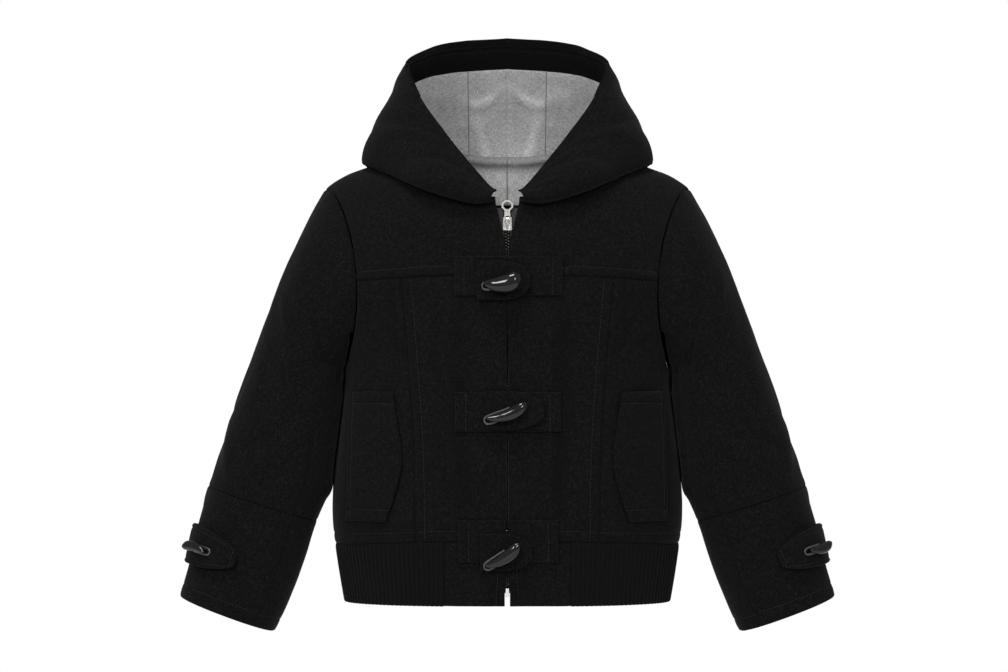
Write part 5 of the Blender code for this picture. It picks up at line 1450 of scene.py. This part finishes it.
# ---------------------------------------------------------------- zip, stitches
def follow(name, lines, small, pitch, finish_of_it, offset=0.0):
    """Small pieces set out by Geometry Nodes along lines, each turned to its line and its face."""
    mesh = bpy.data.meshes.new(name + "_lines")
    vertices, facing = [], []
    for line, normals in lines:
        length = np.concatenate(([0.0], np.cumsum(np.linalg.norm(np.diff(line, axis=0), axis=1))))
        count = int((length[-1] - offset) / pitch)
        at = offset + pitch * (np.arange(count) + 0.5)
        for k in at:
            spot = np.array([np.interp(k, length, line[:, i]) for i in range(3)])
            ahead = np.array([np.interp(k + 0.4 * pitch, length, line[:, i]) for i in range(3)]) - spot
            up = np.array([np.interp(k, length, normals[:, i]) for i in range(3)])
            across = unit(np.cross(up, ahead))
            turned = Matrix(np.column_stack((unit(ahead), across, np.cross(unit(ahead), across))).tolist())
            vertices.append(spot)
            facing.append(turned.to_euler())
    mesh.from_pydata(np.array(vertices).tolist(), [], [])
    mesh.attributes.new("turn", "FLOAT_VECTOR", "POINT").data.foreach_set("vector", np.array(facing).ravel())
    carrier = bpy.data.objects.new(name, mesh)
    bpy.context.scene.collection.objects.link(carrier)
    tree = bpy.data.node_groups.new(name + "_set_out", "GeometryNodeTree")
    tree.interface.new_socket("Geometry", in_out="INPUT", socket_type="NodeSocketGeometry")
    tree.interface.new_socket("Small Piece", in_out="INPUT", socket_type="NodeSocketObject")
    tree.interface.new_socket("Scale", in_out="INPUT", socket_type="NodeSocketFloat")
    tree.interface.new_socket("Geometry", in_out="OUTPUT", socket_type="NodeSocketGeometry")
    given, out = tree.nodes.new("NodeGroupInput"), tree.nodes.new("NodeGroupOutput")
    info = tree.nodes.new("GeometryNodeObjectInfo")
    turn = tree.nodes.new("GeometryNodeInputNamedAttribute")
    turn.data_type = "FLOAT_VECTOR"
    turn.inputs[0].default_value = "turn"
    set_out = tree.nodes.new("GeometryNodeInstanceOnPoints")
    real = tree.nodes.new("GeometryNodeRealizeInstances")
    painted = tree.nodes.new("GeometryNodeSetMaterial")
    painted.inputs["Material"].default_value = finish_of_it
    tree.links.new(given.outputs[1], info.inputs["Object"])
    tree.links.new(given.outputs[0], set_out.inputs["Points"])
    tree.links.new(info.outputs["Geometry"], set_out.inputs["Instance"])
    tree.links.new(turn.outputs[0], set_out.inputs["Rotation"])
    tree.links.new(given.outputs[2], set_out.inputs["Scale"])
    tree.links.new(set_out.outputs[0], real.inputs[0])
    tree.links.new(real.outputs[0], painted.inputs["Geometry"])
    tree.links.new(painted.outputs[0], out.inputs[0])
    modifier = carrier.modifiers.new("set_out", "NODES")
    modifier.node_group = tree
    sockets = [item.identifier for item in tree.interface.items_tree if item.in_out == "INPUT"]
    modifier[sockets[1]] = small
    modifier[sockets[2]] = 1.0
    bpy.context.view_layer.update()
    result = bpy.data.meshes.new_from_object(carrier.evaluated_get(bpy.context.evaluated_depsgraph_get()))
    bpy.data.objects.remove(carrier, do_unlink=True)
    bpy.data.objects.remove(small, do_unlink=True)
    result.shade_smooth()
    made = bpy.data.objects.new(name, result)
    bpy.context.scene.collection.objects.link(made)
    return made


def loft(name, sections, sides, finish_of_it):
    """A closed small form along X: each section is its x, half width and half height."""
    turns = np.arange(sides) * 2 * math.pi / sides
    vertices = [(x, w * math.cos(a), h * math.sin(a)) for x, w, h in sections for a in turns]
    return add_mesh(name, np.array(vertices) * MM, tube_faces(len(sections), sides), None, finish_of_it)


def build_stitches(thread):
    stitch = loft("stitch", [(-1.3, 0.07, 0.04), (-0.95, 0.2, 0.14), (0.0, 0.24, 0.2), (0.95, 0.2, 0.14),
                             (1.3, 0.07, 0.04)], 6, thread)
    settle(follow("topstitching", STITCH_LINES, stitch, 3.5 * MM, thread), "napped_wool")


def build_zip(tape, metal, dark_metal):
    for side, sign in SIDES:
        def strip(up, across):
            x = sign * (CHAIN_WIDTH / 2 + SEAM + TAPE_WIDTH * across)
            return front_point(x, ZIP_FOOT + (ZIP_TOP - ZIP_FOOT) * up)

        panel = Panel(strip, lambda point: np.array((0.0, -1.0, 0.0)), OPEN, OPEN, OPEN, OPEN, 3.0)
        cloth(f"zip_tape_{side}", panel, TAPE_WALL, tape, "zip_tape", (), -(BLOCK_WALL + SEAM))
    heights = np.linspace(STOP_TOP + SEAM, CHAIN_TOP, 140)
    middle = np.array([front_point(0.0, height) for height in heights])
    normals = np.cross(np.gradient(middle, axis=0), (1.0, 0.0, 0.0))
    normals /= np.linalg.norm(normals, axis=-1, keepdims=True)
    normals *= np.sign(-normals[:, 1:2])
    seat = middle - normals * (BLOCK_WALL + SEAM + CHAIN_WALL / 2)
    teeth = []
    for side, sign, offset in (("right", -1, 0.0), ("left", 1, TOOTH_PITCH / 2)):
        line = seat + np.array((sign * 1.15 * MM, 0.0, 0.0))
        tooth = loft(f"tooth_{side}", [(-0.75, 1.1, 0.7), (-0.55, 1.25, 0.95), (0.55, 1.25, 0.95),
                                       (0.75, 1.1, 0.7)], 8, dark_metal)
        made = follow(f"zip_teeth_{side}", [(line, normals)], tooth, TOOTH_PITCH, dark_metal, offset)
        teeth.append(made)
    for made in teeth:
        settle(made, "nickel", "zip_chain")
    slider = merged_copy("slider_body", "zip_slider", metal, 0.25 * MM)
    settle(slider, "nickel", "zip_slider")
    pull = merged_copy("pull_ring", "zip_pull_tab", metal, 0.2 * MM)
    settle(pull, "nickel", "zip_pull_tab", body_name="pull_tab")
    stop = merged_copy("bottom_stop", "zip_bottom_stop", metal, 0.3 * MM)
    settle(stop, "nickel", "zip_bottom_stop")


def build_neck(lining):
    """Lining inside the back of the neck, turned up over the raw edges of the neck seam."""
    depth = WOOL + SEAM + LINING / 2

    def neck(up, across):
        share = NECK_LINING_REACH * across
        row = NECKLINE(1 - (1 - HOOD_FRONT_SHARE) * math.asin(share / BACK_NECK) * 2 / math.pi)
        edge = row[0:3] + row[6:9] * (NECK_CLEAR + LINING / 2)
        if up > NECK_STAND:
            rise = (up - NECK_STAND) / NECK_BEND
            return edge + row[3:6] * (-depth + (depth + HOOD_LAY + WOOL - SEAM) * rise)
        height = NECK_LINING_FOOT + NECK_LINING_RISE * min(up / NECK_TURN, 1.0)
        level = height * neck_level(share, BACK_NECK, BACK_NECK_RISE)
        point, normal = body_at(back_angle(share, level), level)
        turn = max(0.0, (up - NECK_TURN) / NECK_BEND)
        return (point - normal * depth) * (1 - turn) + (edge - row[3:6] * depth) * turn

    laid = Panel(neck, lambda point: np.array((0.0, 1.0, 0.0)), OPEN, OPEN, marks(), OPEN, 2.2)
    for side, sign in SIDES:
        panel = laid.mirrored(sign)
        slack = 0.5 + 0.5 * rumple(panel.points, 0.02, 4.0)
        panel.height = 1.3 * MM * slack * slack * eased(panel.foot / (8 * MM)) * eased(panel.top / (6 * MM))
        panel.sew("start", dip=0.45)
        # painted shade where the neck lining turns up behind the neck seam
        panel.sewn = np.maximum(panel.sewn, 0.95 * eased((panel.up - 0.72) / 0.1))
        cloth(f"neck_lining_{side}", panel, LINING, lining, "grey_lining", (), LINING / 2, True)


# ---------------------------------------------------------------- studio
# name, place, width and height in metres, watts
LIGHTS = (
    ("front_left", (-1.5, -2.9, 1.3), (0.9, 0.9), 98),
    ("front_right", (1.3, -3.0, 1.1), (0.9, 0.9), 70),
    ("top_soft", (-0.3, -1.1, 2.2), (0.9, 0.6), 70),
)
LIGHTS_AIM = (0.0, 0.0, -0.1)


def area_light(name, place, target, size, power_of_it):
    light = bpy.data.lights.new(name, "AREA")
    light.shape = "RECTANGLE"
    light.size, light.size_y = size
    light.energy = power_of_it
    made = bpy.data.objects.new(name, light)
    made.location = place
    made.rotation_euler = (Vector(target) - Vector(place)).to_track_quat("-Z", "Y").to_euler()
    bpy.context.scene.collection.objects.link(made)


def build_studio():
    """A pale floor, a white background, soft lights in front and above, and the camera."""
    side, floor = 1.45, -0.62
    vertices = [(-side, -side, floor), (side, -side, floor), (side, side, floor), (-side, side, floor)]
    paper, _, shader = finish("studio_paper", 0.9)
    shader.inputs["Base Color"].default_value = (0.93, 0.93, 0.93, 1.0)
    add_mesh("studio_floor", vertices, [(0, 1, 2, 3)], None, paper, False)
    world = bpy.data.worlds.new("studio")
    world.use_nodes = True
    tree = world.node_tree
    seen = add_node(tree, "ShaderNodeLightPath").outputs["Is Camera Ray"]
    strength = add_node(tree, "ShaderNodeMapRange", {"Value": seen, "To Min": 0.5, "To Max": 1.0})
    background = tree.nodes["Background"]
    background.inputs["Color"].default_value = (1.0, 1.0, 1.0, 1.0)
    tree.links.new(strength.outputs[0], background.inputs["Strength"])
    bpy.context.scene.world = world
    for name, place, size, watts in LIGHTS:
        area_light(name, place, LIGHTS_AIM, size, watts)
    camera = bpy.data.cameras.new("camera")
    camera.lens = 116.5
    camera.sensor_width = 36.0
    held = bpy.data.objects.new("camera", camera)
    held.location = (-0.003, -3.0, -0.153)
    held.rotation_euler = (math.pi / 2, 0.0, 0.0)
    bpy.context.scene.collection.objects.link(held)
    bpy.context.scene.camera = held
    bpy.context.scene.view_settings.view_transform = "Standard"


def main():
    fibre = build_fibre_group()
    wool, rib, lining = make_wool(fibre), make_rib(fibre), make_lining(fibre)
    horn, cord, tape, metal, thread = make_horn(), make_cord(), make_tape(fibre), make_nickel(), make_thread()
    build_studio()
    build_fronts(wool)
    build_yokes(wool)
    build_back(wool)
    build_hem(wool, rib)
    build_sleeves(wool)
    build_hood(wool, lining)
    build_neck(lining)
    build_pockets(wool)
    build_tabs(wool)
    build_straps(wool)
    build_toggles(horn, cord)
    build_stitches(thread)
    build_zip(tape, metal, make_teeth())


main()
